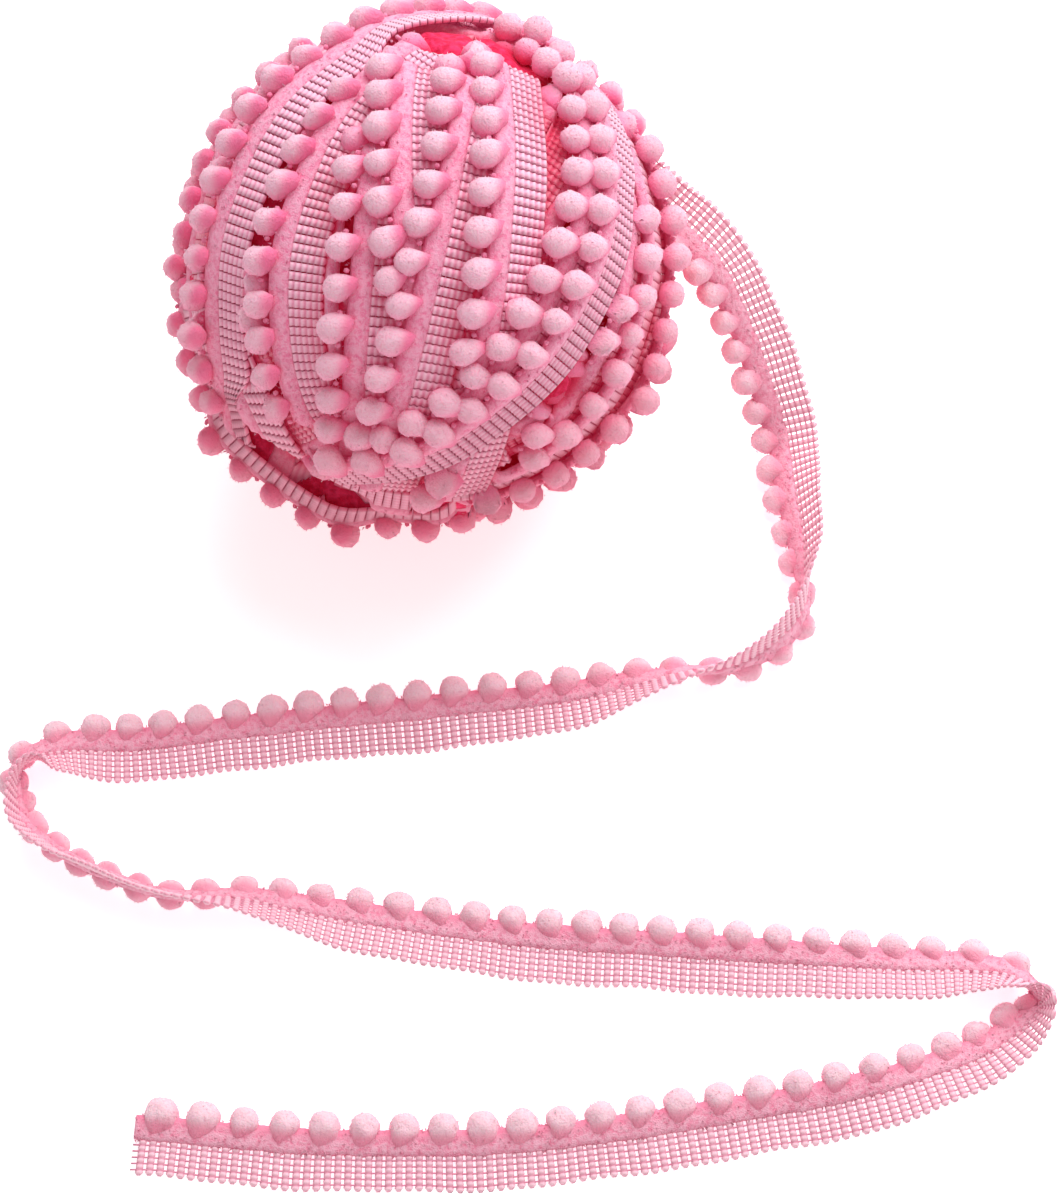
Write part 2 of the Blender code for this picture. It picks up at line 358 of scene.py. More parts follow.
def relief(outward: Points, places: Sequence[Relief] = RELIEF) -> tuple[Points, Points]:
    """The ball's ridges and hollows in some directions.

    Args:
        outward: unit vectors from the ball's centre.
        places: the ridges and hollows.

    Returns:
        How far the ridges stand out there, and how deep the hollows are.
    """
    steepness = 1.4
    ridge = np.zeros(len(outward))
    hollow = np.zeros(len(outward))
    for row in places:
        axis, side, other = aim(row.lon, row.lat)
        theta = np.degrees(np.arccos(np.clip(outward @ axis, -1, 1)))
        turned = np.degrees(np.arctan2(outward @ other, outward @ side))
        turned = row.low + np.mod(turned - row.low, FULL)
        beyond = np.clip(np.minimum(turned - row.high, row.low + FULL - turned), 0, None)
        away = np.hypot(theta - row.spread, beyond * math.sin(math.radians(row.spread)))
        height = row.height * eased(steepness * (1 - away / row.reach))
        ridge = np.maximum(ridge, height)
        hollow = np.maximum(hollow, -height)
    return ridge, hollow


class TurnPath(Path):
    """One turn of the trim round the ball.

    MIDDLE_RADIUS is the radius of the middle surface at the selvedge, LEAN how far it rises
    from there to the heading's two sides, and ARC_RADIUS the radius that lengths are
    measured on. REACH is the pompoms' distance from the selvedge. The last end goes down by
    DIVE_DEPTH over DIVE degrees, and a gather sets in over GATHER_ENDS degrees. Earlier
    turns lie UNDERSIDE below the middle surface or deeper, and beyond the edges EDGE_RISE
    higher for each millimetre. Their pompoms are hidden from TUCKED across the turn to PAST
    beyond its own pompoms.
    """

    CENTRE = np.array((0.0, 0.0, 49.5))
    MIDDLE_RADIUS = 44.2
    LEAN = (0.0, 0.9, 1.5)
    ARC_RADIUS = 47.5
    REACH = 12.1
    DIVE, DIVE_DEPTH = 14.0, 7.0
    GATHER_ENDS = 14.0
    UNDERSIDE, EDGE_RISE = 0.8, 3.0
    TUCKED, PAST = 0.4, 0.3

    def __init__(self, turn: Turn) -> None:
        """Measures the turn.

        Args:
            turn: the turn's row in the tables above.
        """
        self.turn = turn
        self.full = abs(turn.last - turn.first) >= FULL
        self.axis, self.side, self.other = aim(turn.lon, turn.lat)
        self.spread = math.radians(turn.spread)
        self.sign = math.copysign(1.0, turn.last - turn.first)
        self.ring_radius = self.ARC_RADIUS * math.sin(self.spread)
        sweep = math.radians(abs(turn.last - turn.first))
        if not self.full:
            sweep += math.radians(turn.dive + self.DIVE)
        count = round(sweep * self.ring_radius / TRIM.pitch)
        self.length = count * TRIM.pitch
        self.degrees_a_mm = math.degrees(sweep) / self.length
        self.start = turn.first - (0.0 if self.full else self.sign * turn.dive)
        self.spans_hollows = turn.rise >= 1.0

    def _degrees(self, along: Points) -> Points:
        """Angles round the axis at some distances along the turn."""
        return self.start + self.sign * along * self.degrees_a_mm

    def _gathered(self, gather: Gather, degrees: Points) -> Points:
        """How far a gather acts at some angles, from 0 to 1."""
        inside = np.minimum(degrees - gather.low, gather.high - degrees)
        return eased(inside / self.GATHER_ENDS)

    def _kept(self, gather: Gather, degrees: Points) -> Points:
        """What share of the turn's width a gather leaves at some angles."""
        return 1 - (1 - gather.share) * self._gathered(gather, degrees)

    def _surface(self, outward: Points, across: Points) -> Points:
        """Radii of the turn's middle surface, which leans out towards the heading.

        Args:
            outward: unit vectors from the ball's centre.
            across: distances from the selvedge.

        Returns:
            The surface's distances from the ball's centre.
        """
        lean = np.interp(across, (0.0, TRIM.woven_width, TRIM.full_width), self.LEAN)
        ridge, hollow = relief(outward)
        ground = ridge if self.spans_hollows else ridge - hollow
        return self.MIDDLE_RADIUS + self.turn.rise + lean + ground

    def stands_out(self, along: Points) -> Points:
        """Whether places on the turn come before it goes down at its last end."""
        return (self.sign * (self._degrees(along) - self.turn.last) <= 0) | self.full

    def _dive(self, degrees: Points) -> Points:
        """How far the turn sinks where its two ends go down between others.

        Args:
            degrees: angles round the axis.

        Returns:
            Its depths there, in millimetres.
        """
        if self.full:
            return np.zeros_like(degrees)
        before = self.sign * (self.turn.first - degrees) / self.turn.dive
        after = self.sign * (degrees - self.turn.last) / self.DIVE
        return self.DIVE_DEPTH * eased(np.maximum(before, after))

    def lay(self, along: Points, across: Points, above: Points) -> Points:
        """Bends flat trim round the ball; see Path."""
        degrees = self._degrees(along)
        drawn, lifted = across, np.zeros_like(across)
        for gather in self.turn.gathers:
            drawn = gather.pivot + (drawn - gather.pivot) * self._kept(gather, degrees)
            slope = gather.lift * self._gathered(gather, degrees)
            lifted += slope * np.abs(across - gather.pivot)
        theta = self.spread + (self.REACH - drawn) / self.MIDDLE_RADIUS
        turned = np.radians(degrees)
        ring = np.outer(np.cos(turned), self.side) + np.outer(np.sin(turned), self.other)
        outward = np.outer(np.cos(theta), self.axis) + ring * np.sin(theta)[:, None]
        wave = waves(turned, (0.25, 5, self.turn.lon), (0.2, 11, self.turn.lat))
        radius = self._surface(outward, across) + above + wave + lifted - self._dive(degrees)
        return self.CENTRE + outward * radius[:, None]

    def _find(self, points: Points) -> tuple[Points, Points, Points]:
        """Where points lie on the turn.

        Args:
            points: places in millimetres.

        Returns:
            Their directions from the ball's centre, their places across the trim, and
            whether they lie beside the turn's arc.
        """
        outward = unit(points - self.CENTRE)
        theta = np.arccos(np.clip(outward @ self.axis, -1, 1))
        degrees = np.degrees(np.arctan2(outward @ self.other, outward @ self.side))
        low, high = sorted((self.turn.first, self.turn.last))
        degrees = low + np.mod(degrees - low, FULL)
        across = self.REACH - (theta - self.spread) * self.MIDDLE_RADIUS
        for gather in self.turn.gathers:
            across = gather.pivot + (across - gather.pivot) / self._kept(gather, degrees)
        return outward, across, (degrees <= high) | self.full

    def ceiling(self, points: Points) -> tuple[Points, Points]:
        """What the turn leaves to the turns under it.

        Args:
            points: places in millimetres.

        Returns:
            The greatest radius that each point may have, and how deep inside the turn's
            width it lies (negative outside it).
        """
        outward, across, beside = self._find(points)
        inside = np.minimum(across, TRIM.full_width - across)
        limit = self._surface(outward, across) - self.UNDERSIDE
        limit += self.EDGE_RISE * np.clip(-inside, 0, None)
        return np.where(beside, limit, np.inf), np.where(beside, inside, -np.inf)

    def hides_pompom(self, points: Points) -> Points:
        """Whether the turn or its own pompoms cover pompoms that stand at some points."""
        _outward, across, beside = self._find(points)
        return beside & (across > self.TUCKED) & (across < self.REACH + self.PAST)

    def way_out(self, points: Points, gap: float) -> Points:
        """The moves that bring points out from under the turn's selvedge.

        Args:
            points: places in millimetres.
            gap: how far from the selvedge they should lie.

        Returns:
            One move for each point, along the ball's surface.
        """
        outward, across, beside = self._find(points)
        away = unit(outward * (outward @ self.axis)[:, None] - self.axis)
        lacking = np.where(beside & (across < TRIM.woven_width), gap + across, 0.0)
        return away * np.clip(lacking, 0, None)[:, None]


# ---------------- flat forms of the trim


def as_mesh(bm: bmesh.types.BMesh, name: str) -> bpy.types.Mesh:
    """Turns a bmesh into a mesh with its faces outwards, and frees it.

    Args:
        bm: the form.
        name: the mesh's name.

    Returns:
        The mesh.
    """
    bmesh.ops.recalc_face_normals(bm, faces=bm.faces)
    mesh = bpy.data.meshes.new(name)
    bm.to_mesh(mesh)
    bm.free()
    return mesh


def in_scene(name: str, data: bpy.types.ID) -> bpy.types.Object:
    """A new object of some data, linked to the scene.

    Args:
        name: the object's name.
        data: its mesh, lamp or camera.

    Returns:
        The object.
    """
    thing = bpy.data.objects.new(name, data)
    bpy.context.scene.collection.objects.link(thing)
    return thing


def points_of(mesh: bpy.types.Mesh) -> Points:
    """The places of a mesh's vertices, one row each."""
    flat = np.zeros(len(mesh.vertices) * 3)
    mesh.vertices.foreach_get("co", flat)
    return flat.reshape(-1, 3)


def ringed(bm: bmesh.types.BMesh, spans: int) -> bmesh.types.BMesh:
    """Parts a form that runs from x = 0 to x = 1 into stretches, with rings between them.

    Args:
        bm: the form.
        spans: how many stretches it is parted into.

    Returns:
        The same form.
    """
    long_edges = [e for e in bm.edges if abs(e.verts[0].co.x - e.verts[1].co.x) > 0.5]
    if spans > 1:
        bmesh.ops.subdivide_edges(bm, edges=long_edges, cuts=spans - 1)
    return bm


def rod(sides: int, spans: int) -> bmesh.types.BMesh:
    """A closed rod of radius 1 from x = 0 to x = 1.

    Args:
        sides: faces round it.
        spans: stretches between its rings.

    Returns:
        The rod's bmesh.
    """
    bm = bmesh.new()
    along_x = Matrix.Rotation(math.pi / 2, 4, "Y") @ Matrix.Translation((0, 0, 0.5))
    bmesh.ops.create_cone(
        bm, cap_ends=True, segments=sides, radius1=1, radius2=1, depth=1, matrix=along_x
    )
    return ringed(bm, spans)


def bar(spans: int) -> bmesh.types.BMesh:
    """A square bar from x = 0 to x = 1 that reaches 1 to each side.

    Args:
        spans: stretches between its rings.

    Returns:
        The bar's bmesh.
    """
    bm = bmesh.new()
    place = Matrix.Translation((0.5, 0, 0)) @ Matrix.Diagonal((0.5, 1, 1, 1))
    bmesh.ops.create_cube(bm, size=2, matrix=place)
    return ringed(bm, spans)


def weft_bundle(bm: bmesh.types.BMesh, half_width: float) -> bpy.types.Mesh:
    """One weft bundle across the tape, pinched where the warp threads cross it.

    Args:
        bm: the rod or bar that is shaped, with two rings for each lobe.
        half_width: half the bundle's width along the tape.

    Returns:
        The bundle's mesh, from the selvedge to the heading.
    """
    narrower, lower = 0.12, 0.80
    edge_bead, edge_tip = 1.1, 0.5
    for vert in bm.verts:
        share = vert.co.x
        pinch = math.cos(math.pi * share * TRIM.lobes) ** 2
        bead = edge_bead if share * TRIM.lobes < 1 else 1.0
        bead = edge_tip if share < 0.01 else bead
        wide = half_width * (1 - narrower * pinch) * bead
        high = TRIM.bundle_half_height * (1 - lower * pinch) * bead
        vert.co = Vector((vert.co.y * wide, share * TRIM.woven_width, vert.co.z * high))
    return as_mesh(bm, "weft_bundle")


def crossed_bundle(half_width: float) -> bpy.types.Mesh:
    """A flat weft bundle with the short stretches of warp that cross it.

    Args:
        half_width: half the bundle's width along the tape.

    Returns:
        The mesh of both.
    """
    overlap = 1.04
    parts = [weft_bundle(bar(2 * TRIM.lobes), half_width)]
    for line in range(1, TRIM.lobes):
        thread = rod(3, 1)
        for vert in thread.verts:
            vert.co = Vector((
                (vert.co.x - 0.5) * TRIM.bundle_step * overlap,
                line * TRIM.lobe_width + vert.co.y * TRIM.warp_radius,
                -vert.co.z * TRIM.warp_radius,
            ))
        parts.append(as_mesh(thread, "warp"))
    joined = bmesh.new()
    for part in parts:
        joined.from_mesh(part)
        bpy.data.meshes.remove(part)
    return as_mesh(joined, "crossed_bundle")


def heading_surface(
    side: Points, up: Points, collar: float = 1.0, swell: Points | float = 1.0, inset: float = 0.0
) -> tuple[Points, Points]:
    """Where points of a round section lie on the heading, which is broad and flattened.

    Args:
        side: the points' places across the round, from -1 to 1 at the pompoms.
        up: their heights on the round, from -1 to 1.
        collar: how much of its collar the heading has.
        swell: how much larger than usual the section is.
        inset: how far inside the surface the points lie.

    Returns:
        Their distances from the selvedge and their heights.
    """
    flatness = 0.8
    outer = np.clip(side, 0, 1) * collar
    across = TRIM.heading_centre + side * (TRIM.heading_width / 2 - inset) * swell
    thick = (TRIM.heading_half_height - inset) * swell * (1 + TRIM.collar_height * outer)
    return across + TRIM.collar_width * outer, np.sign(up) * np.abs(up) ** flatness * thick


def as_array(matrices: Iterable[Matrix]) -> Points:
    """Matrices as one array."""
    return np.array([[list(line) for line in matrix] for matrix in matrices])


def turned_on_necks(count: int, neck: Vector, rng: np.random.Generator) -> Points:
    """Rotation matrices that turn pompoms on their necks by random angles."""
    angles = rng.uniform(0, 2 * math.pi, count)
    return as_array(Matrix.Rotation(angle, 3, neck) for angle in angles)


def pompom_ball(splits: int, neck: Vector) -> bpy.types.Mesh:
    """One pompom, slightly uneven and drawn out towards its neck.

    Args:
        splits: how finely the ball is divided.
        neck: the way that the neck points; its length draws the neck out.

    Returns:
        The pompom's mesh, round the origin.
    """
    unevenness = 0.10
    neck_begins = 0.45
    bm = bmesh.new()
    bmesh.ops.create_icosphere(bm, subdivisions=splits, radius=TRIM.pompom_radius)
    for vert in bm.verts:
        lumps = math.sin(1.1 * vert.co.x + 0.9 * vert.co.z) * math.sin(1.3 * vert.co.y)
        facing = vert.co.normalized().dot(neck.normalized())
        towards = max(0.0, facing - neck_begins) / (1 - neck_begins)
        vert.co *= 1 + unevenness * lumps
        vert.co += neck * TRIM.neck_length * towards * towards
    return as_mesh(bm, "pompom")


def tuft(radius: float, height: float) -> bpy.types.Mesh:
    """One tuft of fibre ends: a thin open spike standing on the origin.

    Args:
        radius: its radius at the root.
        height: how far it stands out.

    Returns:
        The tuft's mesh.
    """
    bm = bmesh.new()
    lift = Matrix.Translation((0, 0, height / 2))
    bmesh.ops.create_cone(
        bm, cap_ends=False, segments=3, radius1=radius, radius2=0.0, depth=height, matrix=lift
    )
    bmesh.ops.remove_doubles(bm, verts=bm.verts, dist=1e-6)
    return as_mesh(bm, "tuft")


def knot() -> bpy.types.Mesh:
    """One small knot of the thread that ties a pompom on."""
    bm = bmesh.new()
    bmesh.ops.create_icosphere(bm, subdivisions=1, radius=0.55)
    return as_mesh(bm, "knot")


# ---------------- laying forms on paths


@dataclass
class Copies:
    """Where the copies of one form lie: a path for each, and the place on it.

    shift moves whole copies after they are laid. Where hold is given, the copies keep
    their shape, and hold is how far each stands from its place, in the trim's measures.
    """

    paths: list[Path]
    owner: Points
    along: Points
    across: Points
    above: Points
    shift: Points | None = None
    hold: Points | None = None

    @property
    def flat(self) -> Points:
        """Along, across and above of each copy's centre."""
        return np.stack((self.along, self.across, self.above), axis=1)

    @classmethod
    def in_row(
        cls, paths: list[Path], owner: Points, along: Points, across: float, above: float
    ) -> Copies:
        """Copies that all lie at one place across the trim.

        Args:
            paths: the paths.
            owner: the index of each copy's path.
            along: their distances along it.
            across: how far they lie from the selvedge.
            above: how far they lie over the middle surface.

        Returns:
            The copies.
        """
        count = len(along)
        return cls(paths, owner, along, np.full(count, across), np.full(count, above))

    @property
    def count(self) -> int:
        """How many copies there are."""
        return len(self.along)

    def take(self, rows: Points) -> Copies:
        """The copies in some rows, which a mask or a list of row numbers gives."""
        values = {spec.name: getattr(self, spec.name) for spec in fields(self)[1:]}
        taken = {name: value[rows] for name, value in values.items() if value is not None}
        return replace(self, **taken)

    def laid(self) -> Points:
        """The places of the copies' centres."""
        return lay_on(self.paths, self.owner, self.flat)

    def stiffly(self, shapes: Points) -> Points:
        """Stands shapes at the copies' places without bending them.

        Args:
            shapes: the points of each copy, along, across and above its place.

        Returns:
            Their places, one row each.
        """
        centres = self.laid()
        steps = [lay_on(self.paths, self.owner, self.flat + row) - centres for row in np.eye(3)]
        ahead = unit(steps[0])
        upward = unit(steps[2] - ahead * (steps[2] * ahead).sum(axis=1, keepdims=True))
        side = np.cross(upward, ahead)
        side *= np.sign((side * steps[1]).sum(axis=1, keepdims=True))
        frame = np.stack((ahead, side, upward), axis=1)
        return (centres[:, None, :] + np.einsum("nvi,nij->nvj", shapes, frame)).reshape(-1, 3)


def lay_on(paths: Sequence[Path], owner: Points, flat: Points) -> Points:
    """Lays points on the paths that own them.

    Args:
        paths: the paths.
        owner: the index of each point's path.
        flat: along, across and above of each point.

    Returns:
        The points' places.
    """
    laid = np.zeros_like(flat)
    for index, path in enumerate(paths):
        mine = owner == index
        if mine.any():
            laid[mine] = path.lay(*flat[mine].T)
    return laid


@dataclass
class Piece:
    """A joined mesh of the trim, with its flat coordinates kept as its UV map."""

    name: str
    finish: bpy.types.Material
    slot: str

    def show(self, mesh: bpy.types.Mesh) -> bpy.types.Object:
        """Puts the finished mesh into the scene as this piece.

        Args:
            mesh: the mesh, in metres.

        Returns:
            The object.
        """
        mesh.materials.append(self.finish)
        thing = in_scene(self.name, mesh)
        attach(thing, "root")
        LOG.info("%s: %d faces", self.name, len(mesh.polygons))
        return thing

    @staticmethod
    def repeated(form: bpy.types.Mesh, count: int) -> bpy.types.Mesh:
        """A mesh of count copies of a form, made by an Array modifier.

        Args:
            form: the form.
            count: how many copies.

        Returns:
            The mesh of them all.
        """
        source = in_scene(form.name, form)
        array = source.modifiers.new("Array", "ARRAY")
        array.count = count
        array.use_relative_offset = False
        array.use_constant_offset = True
        array.constant_offset_displace = (0.0, 0.0, 0.0)
        graph = bpy.context.evaluated_depsgraph_get()
        mesh = bpy.data.meshes.new_from_object(source.evaluated_get(graph))
        bpy.data.objects.remove(source)
        return mesh

    def finish_mesh(
        self, mesh: bpy.types.Mesh, laid: Points, flat: Points, tone: Points
    ) -> bpy.types.Object:
        """Gives the mesh its places, UV map and tones, and dresses it.

        Args:
            mesh: the joined mesh.
            laid: its points' places in millimetres.
            flat: along, across and above of its points, for the UV map.
            tone: a value from 0 to 1 for each point, one for each copy.

        Returns:
            The finished object.
        """
        mesh.vertices.foreach_set("co", (laid * MM).astype(np.float32).ravel())
        corners = np.zeros(len(mesh.loops), np.int32)
        mesh.loops.foreach_get("vertex_index", corners)
        layer = mesh.uv_layers.new(name="Trim")
        layer.data.foreach_set("uv", flat[corners, :2].astype(np.float32).ravel())
        attribute = mesh.attributes.new("tone", "FLOAT", "POINT")
        attribute.data.foreach_set("value", tone.astype(np.float32))
        mesh.polygons.foreach_set("use_smooth", np.ones(len(mesh.polygons), bool))
        mesh.update()
        self.face_outwards(mesh)
        return self.show(mesh)

    @staticmethod
    def face_outwards(mesh: bpy.types.Mesh) -> None:
        """Turns the faces out again, because a path can lay a form as its mirror image.

        Args:
            mesh: the laid mesh.
        """
        bm = bmesh.new()
        bm.from_mesh(mesh)
        bmesh.ops.recalc_face_normals(bm, faces=bm.faces)
        bm.to_mesh(mesh)
        bm.free()

    def of_copies(
        self,
        form: bpy.types.Mesh,
        copies: Copies,
        settle: Callable[[Points, Points], Points],
        turn: Points | None = None,
        grow: Points | None = None,
    ) -> bpy.types.Object:
        """One mesh of a form's copies.

        Args:
            form: the form in millimetres, round its own origin.
            copies: where the copies lie.
            settle: moves laid points clear of the floor and of other turns.
            turn: a rotation matrix for each copy.
            grow: a size for each copy.

        Returns:
            The finished object.
        """
        base = points_of(form)
        mesh = self.repeated(form, copies.count)
        shapes = np.broadcast_to(base, (copies.count, *base.shape)).copy()
        if turn is not None:
            shapes = np.einsum("nij,nvj->nvi", turn, shapes)
        if grow is not None:
            shapes *= grow[:, None, None]
        if copies.hold is not None:
            shapes = shapes + copies.hold[:, None, :]
        flat = (shapes + copies.flat[:, None, :]).reshape(-1, 3)
        owner = np.repeat(copies.owner, len(base))
        if copies.hold is None:
            laid = lay_on(copies.paths, owner, flat)
        else:
            laid = copies.stiffly(shapes)
        if copies.shift is not None:
            laid += np.repeat(copies.shift, len(base), axis=0)
        laid = settle(laid, owner)
        tones = np.random.default_rng(SEED).random(copies.count)
        return self.finish_mesh(mesh, laid, flat, np.repeat(tones, len(base)))

    def of_rods(
        self,
        paths: Sequence[Path],
        sizes: tuple[int, int],
        section: Callable[[Points], Points],
        settle: Callable[[Points, Points], Points],
        lines: Iterable[int] = (0,),
    ) -> bpy.types.Object:
        """One mesh of closed rods that run the whole length of their paths.

        Args:
            paths: the paths.
            sizes: a rod's faces round it, and its stretches to a pitch of the trim.
            section: turns rows of (along, y, z, line) into along, across and above.
            settle: moves laid points clear of the floor and of other turns.
            lines: the numbers of the rods that lie side by side.

        Returns:
            The finished object.
        """
        sides, spans_a_pitch = sizes
        joined = bmesh.new()
        flats, owners = [], []
        for index, path in enumerate(paths):
            spans = max(2, round(path.length / TRIM.pitch * spans_a_pitch))
            mesh = as_mesh(rod(sides, spans), "rod")
            shape = points_of(mesh)
            for line in lines:
                rows = np.column_stack((shape, np.full(len(shape), float(line))))
                rows[:, 0] *= path.length
                flats.append(section(rows))
                owners.append(np.full(len(shape), index))
                joined.from_mesh(mesh)
            bpy.data.meshes.remove(mesh)
        flat = np.concatenate(flats)
        owner = np.concatenate(owners)
        laid = settle(lay_on(paths, owner, flat), owner)
        mesh = bpy.data.meshes.new(self.name)
        joined.to_mesh(mesh)
        joined.free()
        tones = np.modf(flat[:, 0] / TRIM.pitch)[0] % 1.0
        return self.finish_mesh(mesh, laid, flat, tones)


# ---------------- shader writing


class Sum:
    """A shader value that is written with the usual signs; each sign adds a Math node."""

    def __init__(self, shader: Shader, socket: bpy.types.NodeSocket) -> None:
        """Args: shader: the material's writer; socket: the value's output."""
        self.shader = shader
        self.socket = socket

    def _math(self, operation: str, first: object, second: object) -> Sum:
        """A Math node on two values."""
        node = self.shader.node("ShaderNodeMath", {"operation": operation}, {0: first, 1: second})
        return Sum(self.shader, node.outputs[0])

    @staticmethod
    def _sign(operation: str, turned: bool = False) -> Callable[[Sum, object], Sum]:
        """Makes the method for a sign.

        Args:
            operation: the Math node's operation.
            turned: whether the value stands on the sign's right.

        Returns:
            The method for the sign.
        """

        def method(value: Sum, other: object) -> Sum:
            """Adds the sign's Math node."""
            pair = (other, value) if turned else (value, other)
            return value._math(operation, *pair)

        return method

    __add__, __radd__ = _sign("ADD"), _sign("ADD", True)
    __sub__, __rsub__ = _sign("SUBTRACT"), _sign("SUBTRACT", True)
    __mul__, __rmul__ = _sign("MULTIPLY"), _sign("MULTIPLY", True)

    def ripple(self, period: float) -> Sum:
        """A wave from 0 to 1, highest at whole periods."""
        turned = self * (2 * math.pi / period)
        return turned._math("COSINE", turned, 0.0) * 0.5 + 0.5

    def between(self, low: float, high: float) -> Sum:
        """A smooth share from 0 at low to 1 at high."""
        settings = {"interpolation_type": "SMOOTHSTEP"}
        links = {"Value": self, "From Min": low, "From Max": high}
        return Sum(self.shader, self.shader.node("ShaderNodeMapRange", settings, links).outputs[0])


class Shader:
    """Writes one material's nodes."""

    def __init__(self, name: str) -> None:
        """Args: name: the material's name."""
        self.material = bpy.data.materials.new(name)
        self.material.use_nodes = True
        self.tree = self.material.node_tree
        self.surface = self.tree.nodes["Principled BSDF"]

    def node(self, kind: str, settings: dict, sockets: dict) -> bpy.types.Node:
        """Adds a node.

        Args:
            kind: the node's type.
            settings: its own settings, set first.
            sockets: values or links for its inputs, by name or number.

        Returns:
            The node.
        """
        made = self.tree.nodes.new(kind)
        for key, value in settings.items():
            setattr(made, key, value)
        for key, value in sockets.items():
            self.plug(made.inputs[key], value)
        return made

    def give(self, values: dict[str, object]) -> None:
        """Sets or links the surface shader's own sockets."""
        for key, value in values.items():
            self.plug(self.surface.inputs[key], value)

    def plug(self, target: bpy.types.NodeSocket, value: object) -> None:
        """Sets an input to a number or colour, or links it.

        Args:
            target: the input.
            value: a number, a colour, or an output.
        """
        if isinstance(value, Sum):
            value = value.socket
        if isinstance(value, bpy.types.NodeSocket):
            self.tree.links.new(value, target)
        elif isinstance(value, tuple) and len(value) == 3 and len(target.default_value) == 4:
            target.default_value = (*value, 1.0)
        else:
            target.default_value = value

    def mix(self, share: object, first: object, second: object) -> bpy.types.NodeSocket:
        """A colour between two, by a share."""
        sockets = {0: share, 6: first, 7: second}
        return self.node("ShaderNodeMix", {"data_type": "RGBA"}, sockets).outputs[2]

    def flat_place(self) -> bpy.types.NodeSocket:
        """The trim's flat coordinates, in millimetres."""
        return self.node("ShaderNodeUVMap", {"uv_map": "Trim"}, {}).outputs[0]

    def place(self) -> bpy.types.NodeSocket:
        """The object coordinates, in metres."""
        return self.node("ShaderNodeTexCoord", {}, {}).outputs["Object"]

    def part(self, vector: bpy.types.NodeSocket, axis: int) -> Sum:
        """One coordinate of a vector."""
        return Sum(self, self.node("ShaderNodeSeparateXYZ", {}, {0: vector}).outputs[axis])

    def along(self) -> Sum:
        """Distance along the trim, in millimetres."""
        return self.part(self.flat_place(), 0)

    def across(self) -> Sum:
        """Distance from the selvedge, in millimetres."""
        return self.part(self.flat_place(), 1)

    def upward(self) -> Sum:
        """How far the surface faces up, from -1 to 1."""
        return self.part(self.node("ShaderNodeNewGeometry", {}, {}).outputs["Normal"], 2)

    def tone(self) -> Sum:
        """The copy's own random value."""
        attribute = self.node("ShaderNodeAttribute", {"attribute_name": "tone"}, {})
        return Sum(self, attribute.outputs["Fac"])

    def noise(
        self, where: object, scale: float, detail: float = 2.0, stretch: Colour = (1, 1, 1)
    ) -> Sum:
        """A noise from 0 to 1.

        Args:
            where: the coordinates that it reads.
            scale: grains to a unit of them.
            detail: octaves.
            stretch: how much closer it lies along each axis.

        Returns:
            The noise's value.
        """
        spread = self.node("ShaderNodeMapping", {}, {"Vector": where, "Scale": stretch})
        sockets = {"Vector": spread.outputs[0], "Scale": scale, "Detail": detail}
        return Sum(self, self.node("ShaderNodeTexNoise", {}, sockets).outputs["Fac"])

    def bump(self, height: object, distance: float, strength: float = 1.0) -> None:
        """Feeds the surface's normal from a height."""
        sockets = {"Height": height, "Distance": distance, "Strength": strength}
        self.give({"Normal": self.node("ShaderNodeBump", {}, sockets).outputs[0]})

    def height(self, low: float, high: float) -> Sum:
        """A share that rises from 0 to 1 between two heights, in millimetres."""
        return self.part(self.place(), 2).between(low * MM, high * MM)

    def depth(self, low: float, high: float) -> Sum:
        """A share of 1 deep in the ball and 0 on its surface, by distance from its centre.

        Args:
            low: the radius where it is 1, in millimetres.
            high: the radius where it is 0.

        Returns:
            The share.
        """
        centre = tuple(float(value) * MM for value in TurnPath.CENTRE)
        sockets = {0: self.place(), 1: centre}
        made = self.node("ShaderNodeVectorMath", {"operation": "DISTANCE"}, sockets)
        return 1 - Sum(self, made.outputs["Value"]).between(low * MM, high * MM)


class Where(Enum):
    """Where a stretch of the trim lies."""

    LOOSE = "loose"
    BALL = "ball"


